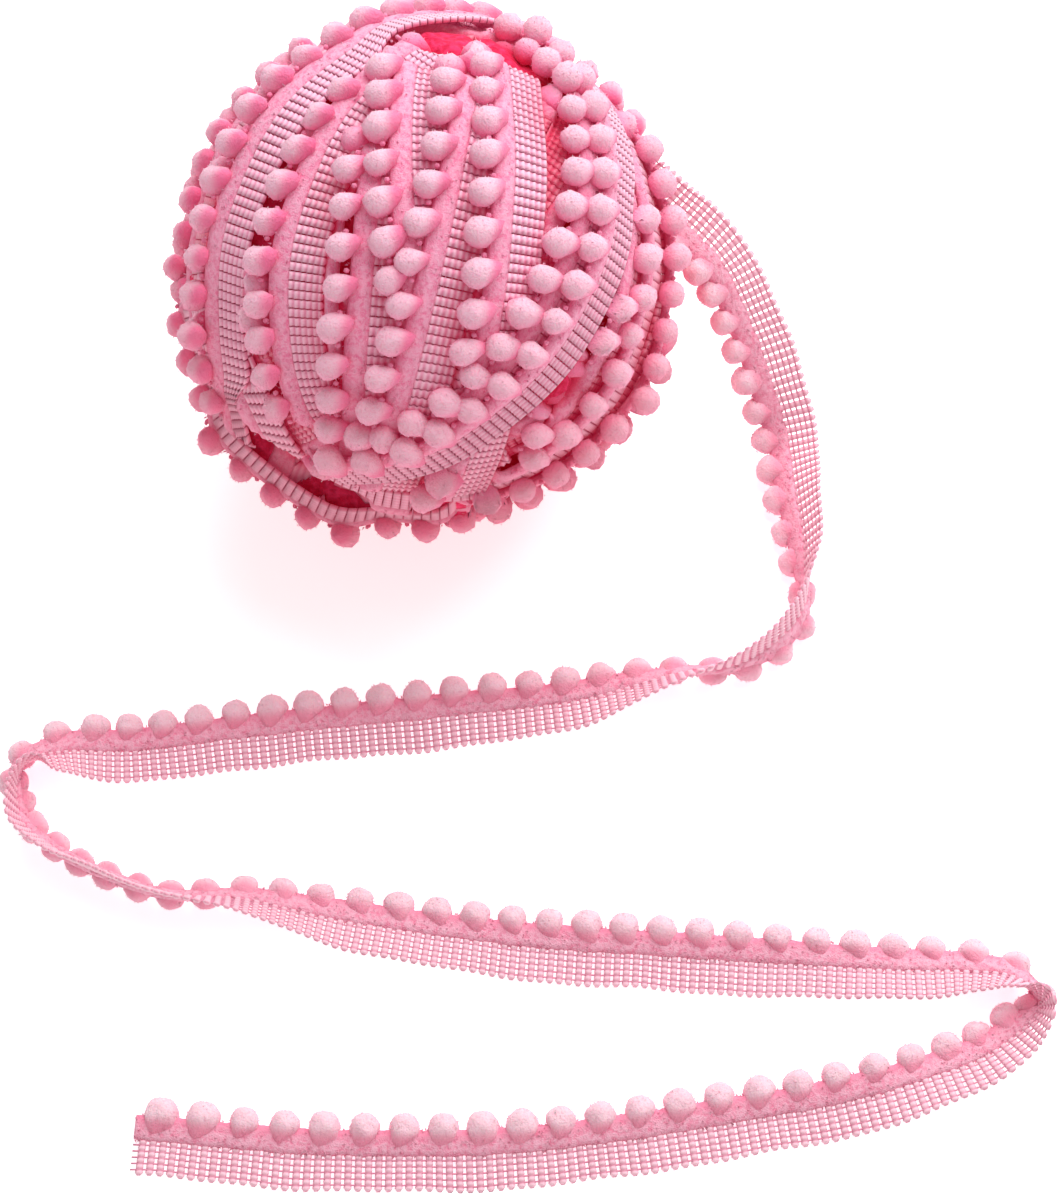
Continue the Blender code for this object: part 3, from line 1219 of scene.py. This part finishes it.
@dataclass(frozen=True)
class Finish:
    """A yarn finish: its colours, and how soft it is.

    On the ball a painted shade turns it to the shaded colour from the top height down to the
    bottom one, by the share shade, and a painted shade turns it deep red from the outer depth
    to the inner one, where shade falls between the turns. Its glow, at the strength emission,
    is painted light: a pink self-glow that stands in for light bounced among the fibres. Its
    slit colour is the painted shade in the slits between the ball's weft bundles.
    """

    name: str
    where: Where
    main: Colour
    deep: Colour
    pale: Colour
    roughness: float = 0.9
    sheen: float = 0.3
    gloss: float = 0.3
    # Painted shade colours (deep red far down between the turns, shaded low on the ball, the dark
    # slit colour) and a painted pink self-glow.
    crimson: Colour = (0.62, 0.012, 0.07)
    shaded: Colour = (0.80, 0.18, 0.22)
    glow: Colour = (0.30, 0.02, 0.07)
    slit: Colour = (0.26, 0.02, 0.08)
    shade: float = 0.54
    heights: tuple[float, float] = (12.0, 96.0)
    depths: tuple[float, float] = (43.2, 45.8)
    emission: float = 0.22

    @property
    def on_ball(self) -> bool:
        """Whether this is a finish of the ball."""
        return self.where is Where.BALL

    def start(self) -> Shader:
        """A material with the finish's constant values."""
        shader = Shader(self.name)
        shader.give({
            "Roughness": self.roughness,
            "Sheen Weight": self.sheen,
            "Sheen Roughness": 0.5,
            "Sheen Tint": self.pale,
            "Specular IOR Level": self.gloss,
        })
        return shader

    def close(self, shader: Shader, colour: object) -> bpy.types.Material:
        """Links the colour, with painted light and shade: on the ball a painted shade darkens it
        towards the bottom and turns it deep red far down between the turns, and the yarn has a
        painted self-glow, deep red down there, that stands in for light bounced among its fibres.

        Args:
            shader: the material's writer.
            colour: the yarn's colour.

        Returns:
            The material.
        """
        glow = self.glow
        if self.on_ball:
            # Painted shade: darker towards the bottom of the ball, where less light falls.
            low = (1 - shader.height(*self.heights)) * self.shade
            colour = shader.mix(low, colour, self.shaded)
            # Painted shade: deep red far down between the turns.
            deep = shader.depth(*self.depths)
            colour = shader.mix(deep * 0.9, colour, self.crimson)
            glow = shader.mix(deep, self.glow, self.crimson)
        # Painted light: a pink self-glow that stands in for light bounced among the fibres.
        strength = self.emission
        shader.give({"Emission Color": glow, "Emission Strength": strength, "Base Color": colour})
        return shader.material


class Velvet(Finish):
    """The velvety pompoms."""

    def build(self) -> bpy.types.Material:
        """The material, with painted light and shade: paler on top and deeper below, deeper
        towards the neck where it meets the heading, and on the ball deeper down between the turns.
        """
        shader = self.start()
        place = shader.place()
        fibres = shader.noise(place, 2600.0, 3.0)
        clumps = shader.noise(place, 700.0, 2.0)
        # Painted light and shade: paler where the surface faces up, deeper where it faces down.
        lit = (shader.upward() + clumps * 0.4).between(-0.3, 1.0)
        if self.on_ball:
            # Painted shade: deeper down between the ball's turns.
            lit = (1 - shader.depth(45.2, 48.6)) * (lit * 0.6 + 0.4)
        colour = shader.mix(lit, self.main, self.pale)
        across = shader.across()
        # Painted shade towards the neck, in the crevice where the pompom meets the heading.
        neck = (1 - across.between(8.6, 11.0)) * 0.8
        colour = shader.mix(neck, colour, self.deep)
        colour = shader.mix(fibres.between(0.45, 0.7) * 0.35, colour, self.main)
        colour = shader.mix(shader.tone() * 0.12, colour, self.pale)
        shader.give({
            "Subsurface Weight": 0.25,
            "Subsurface Radius": (1.0, 0.35, 0.5),
            "Subsurface Scale": 0.0012,
        })
        shader.bump(fibres * 0.55 + clumps * 0.45, 0.0008, 0.65)
        return self.close(shader, colour)


class Pile(Finish):
    """The tufted heading."""

    def build(self) -> bpy.types.Material:
        """The material, mottled by tufts, with a painted shade at its pompom side where the
        pompoms stand on it, deepest between them.
        """
        shader = self.start()
        place = shader.place()
        clumps = shader.noise(place, 1100.0, 3.0)
        fibres = shader.noise(place, 3600.0, 2.0)
        between = 1 - shader.along().ripple(TRIM.pitch)
        across = shader.across()
        colour = shader.mix(clumps.between(0.30, 0.62), self.deep, self.main)
        colour = shader.mix(fibres.between(0.4, 0.75) * 0.6, colour, self.pale)
        least = 0.04 if self.on_ball else 0.30
        # Painted shade at the heading's pompom side, deepest between the pompoms.
        root = across.between(8.0, 10.6) * (between * 0.45 + least)
        colour = shader.mix(root, colour, self.deep)
        shader.bump(clumps * 0.5 + fibres * 0.5, 0.0006, 0.8)
        return self.close(shader, colour)


class Weave(Finish):
    """The glossy lobes of the weft and the thin warp threads."""

    def build(self) -> bpy.types.Material:
        """The material: a painted highlight on each lobe, painted shade in the pinches, fine
        fibres along each bundle, and on the ball painted shade in the slits between bundles.
        """
        shader = self.start()
        flat = shader.flat_place()
        fibres = shader.noise(flat, 1.0, 2.0, (9.0, 1.2, 1.0))
        broad = shader.noise(flat, 0.35, 1.0)
        pinch = shader.across().ripple(TRIM.lobe_width)
        colour = shader.mix(fibres.between(0.3, 0.7) * 0.6, self.main, self.deep)
        # Painted highlight on the middle of each lobe.
        colour = shader.mix((1 - pinch) * 0.75, colour, self.pale)
        strength = 0.25 if self.on_ball else 0.8
        # Painted shade in the pinches where the warp crosses.
        colour = shader.mix(pinch.between(0.45, 1.0) * strength, colour, self.deep)
        colour = shader.mix(broad.between(0.45, 0.7) * 0.2, colour, self.pale)
        if self.on_ball:
            # Painted shade in the slits between the bundles.
            slit = 1 - shader.along().ripple(TRIM.bundle_step)
            slit_shade_share = slit.between(0.86, 0.98) * (1 - pinch * 0.5)
            colour = shader.mix(slit_shade_share * 0.8, colour, self.slit)
        shader.bump(fibres * 0.4 - pinch, 0.00018, 0.7)
        return self.close(shader, colour)


class Core(Finish):
    """What shows of the inner turns, deep down."""

    def build(self) -> bpy.types.Material:
        """The material, in crossed threads of deep red: painted shade, the pink inner turns as
        they look deep between the outer ones.
        """
        shader = self.start()
        place = shader.place()
        threads = shader.noise(place, 700.0, 3.0)
        # Painted shade: the inner turns are the same pink yarn, coloured as they look in deep
        # shade.
        colour = shader.mix(threads.between(0.35, 0.7), self.deep, self.main)
        shader.bump(threads, 0.0010, 0.9)
        shader.give({"Base Color": colour})
        return shader.material


# ---------------- tufts of fibre ends


@dataclass
class Tufts:
    """Fibre ends that stand out of the pile and of the pompoms; the counts say how many.

    FUZZ and PILE are a tuft's radius and height on the pompoms and on the heading, and the
    roots are how deep it stands there. SHAKE and LEAN are how far it turns at random, and
    FLATTER holds those on the heading upright.
    """

    a_pompom: int
    a_pitch: int
    FUZZ = (0.15, 0.42)
    PILE = (0.22, 0.60)
    FUZZ_ROOT, PILE_ROOT = 0.12, 0.10
    SHAKE, LEAN = 0.12, 0.5
    FLATTER = 0.7

    @staticmethod
    def aim(directions: Points) -> Points:
        """Rotation matrices that turn +Z to each direction."""
        return as_array(Vector(row).to_track_quat("Z", "Y").to_matrix() for row in directions)

    def sphere(self, rng: np.random.Generator) -> Points:
        """Unit vectors spread evenly over a pompom, slightly shaken.

        Args:
            rng: the shaking's source.

        Returns:
            The directions, one row each.
        """
        k = np.arange(self.a_pompom) + 0.5
        z = 1 - 2 * k / self.a_pompom
        turn = k * math.pi * (3 - math.sqrt(5))
        ring = np.sqrt(1 - z * z)
        rows = np.stack((ring * np.cos(turn), ring * np.sin(turn), z), axis=1)
        return unit(rows + rng.normal(0, self.SHAKE, rows.shape))

    def on_pompoms(
        self, places: Copies, size: Points, rng: np.random.Generator
    ) -> tuple[Copies, Points]:
        """Tufts over every pompom.

        Args:
            places: where the pompoms stand.
            size: how large each is.
            rng: the shaking's source.

        Returns:
            The tufts' places, and the ways that they point.
        """
        aims = np.concatenate([self.sphere(rng) for _ in range(places.count)])
        reach = np.repeat(TRIM.pompom_radius * size - self.FUZZ_ROOT, self.a_pompom)
        spots = places.take(np.repeat(np.arange(places.count), self.a_pompom))
        return replace(spots, hold=aims * reach[:, None]), aims

    def on_heading(
        self, paths: Sequence[Path], rng: np.random.Generator
    ) -> tuple[Copies, Points]:
        """Tufts over the heading of every path.

        Args:
            paths: the paths.
            rng: the source of their places.

        Returns:
            The tufts' places, and the ways that they point.
        """
        counts = [round(path.length / TRIM.pitch * self.a_pitch) for path in paths]
        owner = np.repeat(np.arange(len(paths)), counts)
        along = np.concatenate([rng.uniform(0, p.length, n) for p, n in zip(paths, counts)])
        angle = rng.uniform(0, 2 * math.pi, len(along))
        side, up = np.cos(angle), np.sin(angle)
        across, above = heading_surface(side, up, inset=self.PILE_ROOT)
        leaning = rng.normal(0, self.LEAN, len(along))
        aims = np.stack((leaning, side * self.FLATTER, up), axis=1)
        return Copies(list(paths), owner, along, across, above), aims


# ---------------- the loose end


@dataclass
class LooseEnd:
    """The loose end of the trim on its route.

    sizes bound the pompoms' sizes, and the last two, at the cut end, have end_size. lumps
    is the heading's unevenness, and beat how much it swells at each pompom.
    """

    finishes: dict[str, bpy.types.Material]
    bundle_sides: int = 6
    bundle_half_width: float = 0.67
    warp_sides: int = 4
    warp_spans: int = 8
    heading_sides: int = 12
    heading_spans: int = 12
    lumps: float = 0.06
    beat: float = 0.05
    sizes: tuple[float, float] = (0.95, 1.05)
    end_size: float = 1.12
    neck: Vector = field(default_factory=lambda: Vector((0.35, -0.93, 0.0)).normalized())
    tufts: Tufts = field(default_factory=lambda: Tufts(90, 44))
    path: LoosePath = field(default_factory=LoosePath)

    @staticmethod
    def on_floor(laid: Points, _owner: Points) -> Points:
        """Keeps points on or over the floor."""
        laid[:, 2] = np.maximum(laid[:, 2], TRIM.least_height)
        return laid

    def pompom_places(self) -> Copies:
        """The pompoms' places on the trim."""
        numbers = np.arange(FIRST_POMPOM, LAST_POMPOM + 1)
        along = (numbers - ROUTE[0].pitch) * TRIM.pitch
        owner = np.zeros(len(along), int)
        places = Copies.in_row([self.path], owner, along, TRIM.pompom_reach, 0.0)
        return replace(places, hold=np.zeros((len(along), 3)))

    def lifted(self, laid: Points, owner: Points) -> Points:
        """Lifts each pompom, with what stands on it, out of the floor.

        Args:
            laid: the laid points, as many for each pompom.
            owner: the index of each point's path.

        Returns:
            The points, lifted.
        """
        centres = self.pompom_places().laid()
        lifts = np.clip(TRIM.pompom_radius + TRIM.least_height - centres[:, 2], 0, None)
        laid[:, 2] += np.repeat(lifts, len(laid) // len(lifts))
        return self.on_floor(laid, owner)

    def build(self) -> None:
        """Builds the loose end's pieces, and hides the CAD part's tape and heading."""
        weave = self.build_weave()
        warps = self.build_warps()
        heading = self.build_heading()
        pompoms = self.build_pompoms()
        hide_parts("loose_tape")
        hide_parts("loose_heading")

    def build_weave(self) -> bpy.types.Object:
        """The weft bundles, four to a pitch."""
        along = np.arange(TRIM.bundle_step / 2, self.path.length, TRIM.bundle_step)
        copies = Copies.in_row([self.path], np.zeros(len(along), int), along, 0.0, 0.0)
        form = weft_bundle(rod(self.bundle_sides, 2 * TRIM.lobes), self.bundle_half_width)
        piece = Piece("loose_weave", self.finishes["loose_weave"], "woven_tape")
        return piece.of_copies(form, copies, self.on_floor)

    def build_warps(self) -> bpy.types.Object:
        """The warp threads, which run the tape's whole length in the bundles' pinches."""

        def section(rows: Points) -> Points:
            """A thin round thread on each line between lobes."""
            along, side, up, line = rows.T
            across = line * TRIM.lobe_width + side * TRIM.warp_radius
            return np.stack((along, across, up * TRIM.warp_radius), axis=1)

        piece = Piece("loose_warps", self.finishes["loose_warp"], "woven_tape")
        sizes = (self.warp_sides, self.warp_spans)
        return piece.of_rods([self.path], sizes, section, self.on_floor, range(1, TRIM.lobes))

    def build_heading(self) -> bpy.types.Object:
        """The pile heading as one rounded, lumpy band."""

        def section(rows: Points) -> Points:
            """A broad flattened round with soft lumps."""
            along, side, up, _line = rows.T
            lumps = np.sin(along * 2.3) * np.sin(side * 4.0 + along * 1.1)
            beat = np.cos(along * 2 * math.pi / TRIM.pitch)
            swell = 1 + self.lumps * lumps + self.beat * beat
            return np.stack((along, *heading_surface(side, up, swell=swell)), axis=1)

        piece = Piece("loose_pile_heading", self.finishes["loose_heading"], "pile_and_pompoms")
        sizes = (self.heading_sides, self.heading_spans)
        return piece.of_rods([self.path], sizes, section, self.on_floor)

    def build_pompoms(self) -> list[bpy.types.Object]:
        """The pompoms, and the tufts on them and on the heading."""
        velvet, pile = self.finishes["loose_pompom"], self.finishes["loose_heading"]
        slot = "pile_and_pompoms"
        rng = np.random.default_rng(SEED)
        places = self.pompom_places()
        size = rng.uniform(*self.sizes, places.count)
        size[-2:] = self.end_size
        spun = turned_on_necks(places.count, self.neck, rng)
        ball = pompom_ball(3, self.neck)
        balls = Piece("loose_pompoms", velvet, slot)
        made = [balls.of_copies(ball, places, self.lifted, spun, size)]
        rng = np.random.default_rng(SEED + 1)
        spots, aims = self.tufts.on_pompoms(places, size, rng)
        fuzz = Piece("loose_pompom_fuzz", velvet, slot)
        made.append(
            fuzz.of_copies(tuft(*Tufts.FUZZ), spots, self.lifted, self.tufts.aim(aims))
        )
        spots, aims = self.tufts.on_heading([self.path], rng)
        hairs = Piece("loose_heading_tufts", pile, slot)
        made.append(
            hairs.of_copies(tuft(*Tufts.PILE), spots, self.on_floor, self.tufts.aim(aims))
        )
        return made


# ---------------- the ball


@dataclass
class Ball:
    """The wound ball: turns of the same trim, each lying on the earlier ones.

    A point that a later turn presses slows within give of its limit, and a bundle covered
    deeper than hidden_below is left out. A pompom stands pompom_stand over its turn, and is
    left out in a hollow under the ball's middle (pompom_hollow) and, unless it is the last
    turn's, on a ridge (pompom_ridge). Its place is shaken by shake. Crowded pompoms are
    jostled: each step pushes them by a share of the way, until they are apart by the share
    closeness of a pompom and selvedge_gap from a later turn's selvedge, and pulls them back
    by another share.
    """

    finishes: dict[str, bpy.types.Material]
    bundle_half_width: float = 0.80
    heading_sides: int = 8
    heading_spans: int = 5
    give: float = 0.6
    hidden_below: float = 0.9
    pompom_stand: float = 1.4
    pompom_hollow: float = 0.8
    pompom_ridge: float = 0.25
    jostles: int = 24
    push: float = 0.3
    pull: float = 0.05
    closeness: float = 0.86
    selvedge_gap: float = 2.1
    shake: float = 0.3
    sizes: tuple[float, float] = (0.92, 1.08)
    pompom_size: float = 0.96
    core_radius: float = 42.6
    core_lumps: float = 0.5
    core_ridges: float = 1.5
    core_hollows: float = 0.3
    core_foot: float = 0.5
    neck: Vector = field(default_factory=lambda: Vector((-0.8, -1.7, 0.0)))
    tufts: Tufts = field(default_factory=lambda: Tufts(40, 18))
    groups: dict[str, Sequence[Turn]] = field(
        default_factory=lambda: {
            "back": BACK_TURNS,
            "side": SIDE_TURNS,
            "front": FRONT_TURNS,
            "outer": OUTER_TURNS,
        }
    )

    def __post_init__(self) -> None:
        """Makes a path of every turn, in winding order."""
        self.paths = [TurnPath(turn) for group in self.groups.values() for turn in group]

    def piece(self, name: str, finish: str) -> Piece:
        """One of the ball's pieces, by its own name and its finish's."""
        return Piece(f"ball_{name}", self.finishes[f"ball_{finish}"], "wound_trim")

    def later_turns(self, owner: Points) -> Iterator[tuple[TurnPath, Points]]:
        """Every turn, with a mask of the points that earlier turns own.

        Args:
            owner: the index of each point's turn.

        Returns:
            The turns that lie on some point, and their masks.
        """
        for index, path in enumerate(self.paths):
            under = owner < index
            if under.any():
                yield path, under

    def covered(self, copies: Copies) -> Points:
        """How deep each copy's centre lies inside the width of a later turn.

        Args:
            copies: the copies.

        Returns:
            A depth for each copy, negative where nothing covers it.
        """
        points = copies.laid()
        deepest = np.full(len(points), -np.inf)
        for path, under in self.later_turns(copies.owner):
            _limit, inside = path.ceiling(points[under])
            deepest[under] = np.maximum(deepest[under], inside)
        return deepest

    def pressed(self, radius: Points, limit: Points) -> Points:
        """Brings radii under a limit; the nearer they come to it, the less they still rise.

        Args:
            radius: the points' distances from the centre.
            limit: the greatest that each may have.

        Returns:
            The new distances.
        """
        over = np.maximum(radius - (limit - self.give), 0.0)
        soft = limit - self.give * np.exp(-over / self.give)
        return np.where(over > 0.0, soft, radius)

    def settle(self, laid: Points, owner: Points) -> Points:
        """Presses points under the later turns and keeps them on the floor.

        Args:
            laid: the laid points.
            owner: the index of each point's turn.

        Returns:
            The settled points.
        """
        spoke = laid - TurnPath.CENTRE
        radius = np.linalg.norm(spoke, axis=1)
        best = radius.copy()
        for path, under in self.later_turns(owner):
            limit, _inside = path.ceiling(laid[under])
            best[under] = self.pressed(best[under], limit)
        laid = TurnPath.CENTRE + spoke * (best / radius)[:, None]
        laid[:, 2] = np.maximum(laid[:, 2], TRIM.least_height)
        return laid

    def jostled(self, copies: Copies) -> Copies:
        """Moves crowded pompoms apart and out from under later turns' selvedges.

        Args:
            copies: the pompoms.

        Returns:
            The pompoms with their shifts.
        """
        start = copies.laid()
        centres = start.copy()
        apart = 2 * TRIM.pompom_radius * self.closeness
        far_from_itself = 99.0 * np.eye(len(centres))
        for _ in range(self.jostles):
            gap = centres[:, None] - centres[None]
            far = np.linalg.norm(gap, axis=2) + far_from_itself
            push = np.clip(apart - far, 0, None) / far
            centres += self.push * (gap * push[..., None]).sum(axis=1)
            for path, under in self.later_turns(copies.owner):
                centres[under] += self.push * path.way_out(centres[under], self.selvedge_gap)
            centres += self.pull * (start - centres)
        return replace(copies, shift=centres - start)

    def spaced(
        self, owners: Sequence[int], step: float, across: float = 0.0, above: float = 0.0
    ) -> Copies:
        """Copies at even steps along some turns.

        Args:
            owners: the numbers of the turns.
            step: the distance between copies.
            across: how far they lie from the selvedge.
            above: how far they lie over the middle surface.

        Returns:
            The copies.
        """
        rows = [np.arange(0.0, self.paths[k].length - step / 2, step) for k in owners]
        along = np.concatenate(rows)
        owner = np.repeat(owners, [len(row) for row in rows])
        return Copies.in_row(self.paths, owner, along, across, above)

    def build(self) -> None:
        """Builds the ball's pieces, one set for each group of turns."""
        core = self.build_core()
        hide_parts("wound_ball")
        pompoms = self.place_pompoms()
        first = 0
        for name, turns in self.groups.items():
            owners = range(first, first + len(turns))
            first += len(turns)
            self.build_weave(name, owners)
            self.build_heading(name, owners)
            self.build_pompoms(name, pompoms.take(np.isin(pompoms.owner, owners)))

    def build_core(self) -> bpy.types.Object:
        """The inner turns, seen only through the gaps."""
        bm = bmesh.new()
        bmesh.ops.create_icosphere(bm, subdivisions=6, radius=self.core_radius)
        spokes = np.array([vert.co for vert in bm.verts])
        outward = unit(spokes)
        x, y, z = spokes.T
        ridge, hollow = relief(outward)
        bank, _hollow = relief(outward, BANK)
        lumps = np.sin(x * 0.9 + y * 0.3) * np.sin(z * 0.8)
        radius = self.core_radius + self.core_lumps * lumps
        radius += self.core_ridges * ridge + self.core_hollows * hollow + bank
        for path in self.paths:
            if path.turn.rise >= 0:
                limit, _inside = path.ceiling(TurnPath.CENTRE + outward * radius[:, None])
                radius = np.minimum(radius, np.maximum(limit, self.core_radius))
        spokes = TurnPath.CENTRE + outward * radius[:, None]
        spokes[:, 2] = np.maximum(spokes[:, 2], self.core_foot)
        for vert, spot in zip(bm.verts, spokes):
            vert.co = spot * MM
        mesh = as_mesh(bm, "ball_core")
        mesh.shade_smooth()
        return self.piece("core", "core").show(mesh)

    def build_weave(self, name: str, owners: Sequence[int]) -> None:
        """The weft bundles of a group of turns, where some part of them shows.

        Args:
            name: the group's name.
            owners: the numbers of its turns.
        """
        copies = self.spaced(owners, TRIM.bundle_step)
        least = np.full(copies.count, np.inf)
        for across in (0.0, TRIM.woven_width / 2, TRIM.woven_width):
            part = replace(copies, across=np.full(copies.count, across))
            least = np.minimum(least, self.covered(part))
        shown = copies.take(least < self.hidden_below)
        form = crossed_bundle(self.bundle_half_width)
        self.piece(f"{name}_weave", "weave").of_copies(form, shown, self.settle)

    def build_heading(self, name: str, owners: Sequence[int]) -> None:
        """The pile heading of a group of turns, with its tufts.

        Args:
            name: the group's name.
            owners: the numbers of its turns.
        """
        first = owners[0]
        paths = [self.paths[k] for k in owners]

        def section(rows: Points) -> Points:
            """A broad flattened round."""
            along, side, up, _line = rows.T
            return np.stack((along, *heading_surface(side, up, collar=0.0)), axis=1)

        def settle(laid: Points, owner: Points) -> Points:
            """Settles with the turns' own numbers."""
            return self.settle(laid, owner + first)

        sizes = (self.heading_sides, self.heading_spans)
        self.piece(f"{name}_heading", "heading").of_rods(paths, sizes, section, settle)
        spots, aims = self.tufts.on_heading(paths, np.random.default_rng(SEED + first))
        spots = replace(spots, paths=self.paths, owner=spots.owner + first)
        seen = self.covered(spots) < 0.0
        self.piece(f"{name}_tufts", "heading").of_copies(
            tuft(*Tufts.PILE), spots.take(seen), self.settle, self.tufts.aim(aims[seen])
        )

    def place_pompoms(self) -> Copies:
        """The places of all the pompoms that show."""
        rng = np.random.default_rng(SEED)
        owners = range(len(self.paths))
        places = self.spaced(owners, TRIM.pitch, TurnPath.REACH, self.pompom_stand)
        laid = places.laid()
        hidden = np.zeros(places.count, bool)
        for path, under in self.later_turns(places.owner):
            hidden |= under & path.hides_pompom(laid)
        for index, path in enumerate(self.paths):
            hidden |= (places.owner == index) & ~path.stands_out(places.along)
        ridge, hollow = relief(unit(laid - TurnPath.CENTRE))
        hidden |= (hollow > self.pompom_hollow) & (laid[:, 2] < TurnPath.CENTRE[2])
        hidden |= (ridge > self.pompom_ridge) & (places.owner < owners[-1])
        places = places.take(~hidden)
        places.across += rng.uniform(-self.shake, self.shake, places.count)
        places.above += rng.uniform(-self.shake, self.shake, places.count)
        places.hold = np.zeros((places.count, 3))
        return self.jostled(places)

    def build_pompoms(self, name: str, places: Copies) -> None:
        """A group's pompoms, with their fuzz and the knots that show between them.

        Args:
            name: the group's name.
            places: where its pompoms stand.
        """
        rng = np.random.default_rng(SEED + places.count)
        size = self.pompom_size * rng.uniform(*self.sizes, places.count)
        spun = turned_on_necks(places.count, self.neck, rng)
        ball = pompom_ball(2, self.neck)
        balls = self.piece(f"{name}_pompoms", "pompom")
        balls.of_copies(ball, places, self.settle, spun, size)
        spots, aims = self.tufts.on_pompoms(places, size, rng)
        fuzz = self.piece(f"{name}_fuzz", "pompom")
        fuzz.of_copies(tuft(*Tufts.FUZZ), spots, self.settle, self.tufts.aim(aims))
        halfway = places.along + TRIM.pitch / 2
        knots = Copies(
            places.paths,
            places.owner,
            halfway + rng.uniform(-0.8, 0.8, places.count),
            TurnPath.REACH - 1.0 + rng.uniform(-0.6, 0.4, places.count),
            np.full(places.count, 0.9),
        )
        shown = knots.take(self.covered(knots) < 0.0)
        self.piece(f"{name}_knots", "heading").of_copies(knot(), shown, self.settle)


# ---------------- finishes and staging


def build_finishes() -> dict[str, bpy.types.Material]:
    """Makes every material of the trim, for the ball and for the loose end."""
    ball, loose = Where.BALL, Where.LOOSE
    shiny = {"roughness": 0.42, "sheen": 0.2, "gloss": 0.5}
    satin = {"roughness": 0.45, "sheen": 0.2, "gloss": 0.45}
    # The ball's copies of the pompom, heading and weave are a deeper, more saturated pink than the
    # loose end's, though the yarn is one: painted shade and pink bounce light among the wound
    # turns.
    yarns = (
        Velvet(
            "ball_pompom", ball, (0.90, 0.24, 0.43), (0.86, 0.09, 0.27), (0.90, 0.58, 0.69),
            sheen=0.4,
        ),
        Velvet(
            "loose_pompom", loose, (0.90, 0.39, 0.51), (0.86, 0.22, 0.35), (0.92, 0.66, 0.73),
            sheen=0.4,
        ),
        Pile("ball_heading", ball, (0.90, 0.41, 0.57), (0.84, 0.20, 0.37), (0.94, 0.58, 0.71)),
        Pile("loose_heading", loose, (0.90, 0.45, 0.57), (0.84, 0.24, 0.37), (0.94, 0.60, 0.69)),
        Weave(
            "ball_weave", ball, (0.90, 0.44, 0.59), (0.80, 0.20, 0.38), (0.97, 0.66, 0.78),
            **shiny,
        ),
        Weave(
            "loose_weave", loose, (0.90, 0.50, 0.60), (0.80, 0.34, 0.45), (0.96, 0.66, 0.74),
            **satin,
        ),
        Weave("loose_warp", loose, (0.80, 0.38, 0.49), (0.70, 0.28, 0.39), (0.86, 0.48, 0.58)),
        # The core's deep red is painted shade: the pink inner turns as they look deep between the
        # outer ones.
        Core("ball_core", ball, (0.88, 0.04, 0.15), (0.68, 0.008, 0.06), (0.8, 0.12, 0.22)),
    )
    return {yarn.name: yarn.build() for yarn in yarns}


@dataclass
class Studio:
    """White floor, soft light and the camera."""

    target: Colour = (0.0182, -0.0445, 0.0)
    elevation: float = 63.0
    distance: float = 0.587
    lens: float = 89.7
    sensor: float = 36.0
    floor_half_size: float = 4.0
    floor_glow: float = 0.6
    backdrop: float = 0.36

    def build(self) -> None:
        """Builds the staging."""
        self.build_floor()
        self.build_lights()
        self.build_camera()

    def build_floor(self) -> None:
        """A plain white floor."""
        bm = bmesh.new()
        bmesh.ops.create_grid(bm, x_segments=1, y_segments=1, size=self.floor_half_size)
        mesh = as_mesh(bm, "floor")
        floor = in_scene("floor", mesh)
        white = Shader("floor_white")
        white.give({
            "Base Color": (0.93, 0.93, 0.93),
            "Roughness": 0.9,
            "Emission Color": (1.0, 1.0, 1.0),
            "Emission Strength": self.floor_glow,
        })
        mesh.materials.append(white.material)
        floor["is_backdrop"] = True

    def build_lights(self) -> None:
        """Soft light from all round, a broad lamp overhead and a warm one in front."""
        scene = bpy.context.scene
        world = bpy.data.worlds.new("studio")
        world.use_nodes = True
        backdrop = world.node_tree.nodes["Background"]
        backdrop.inputs["Color"].default_value = (1.0, 1.0, 1.0, 1.0)
        backdrop.inputs["Strength"].default_value = self.backdrop
        scene.world = world
        self.lamp("top_lamp", (0.30, 0.50, 0.85), 1.1, 15.0, (1.0, 0.99, 1.0))
        self.lamp("front_lamp", (0.15, -0.9, 0.35), 0.6, 0.6, (1.0, 0.80, 0.76))
        scene.view_settings.view_transform = "Standard"

    def lamp(self, name: str, place: Colour, size: float, power: float, tint: Colour) -> None:
        """A square area lamp that faces the object.

        Args:
            name: the lamp's name.
            place: where it hangs, in metres.
            size: its side, in metres.
            power: its power, in watts.
            tint: its colour.
        """
        light = bpy.data.lights.new(name, "AREA")
        light.size = size
        light.energy = power
        light.color = tint
        self.face_target(in_scene(name, light), Vector(place) - Vector(self.target))

    def build_camera(self) -> None:
        """The camera, high in front of the object."""
        camera = bpy.data.cameras.new("camera")
        camera.lens = self.lens
        camera.sensor_width = self.sensor
        camera.sensor_height = self.sensor
        camera.sensor_fit = "AUTO"
        thing = in_scene("camera", camera)
        raised = math.radians(self.elevation)
        back = Vector((0.0, -math.cos(raised), math.sin(raised))) * self.distance
        self.face_target(thing, back)
        bpy.context.scene.camera = thing

    def face_target(self, thing: bpy.types.Object, offset: Vector) -> None:
        """Stands an object off the target, and turns it to face it."""
        thing.location = Vector(self.target) + offset
        thing.rotation_euler = (-offset).to_track_quat("-Z", "Y").to_euler()


def clear_scene() -> None:
    """Removes what the new file holds."""
    for thing in list(bpy.data.objects):
        bpy.data.objects.remove(thing)


def main() -> None:
    """Builds the trim and its staging."""
    logging.basicConfig(level=logging.INFO, format="%(name)s: %(message)s")
    clear_scene()
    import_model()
    cad_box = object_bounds()
    finishes = build_finishes()
    LooseEnd(finishes).build()
    Ball(finishes).build()
    Studio().build()
    visual_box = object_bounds()
    boxes = {"cad": cad_box, "visual": visual_box}
    {key: [list(corner) for corner in box] for key, box in boxes.items()}


if __name__ == "__main__":
    main()
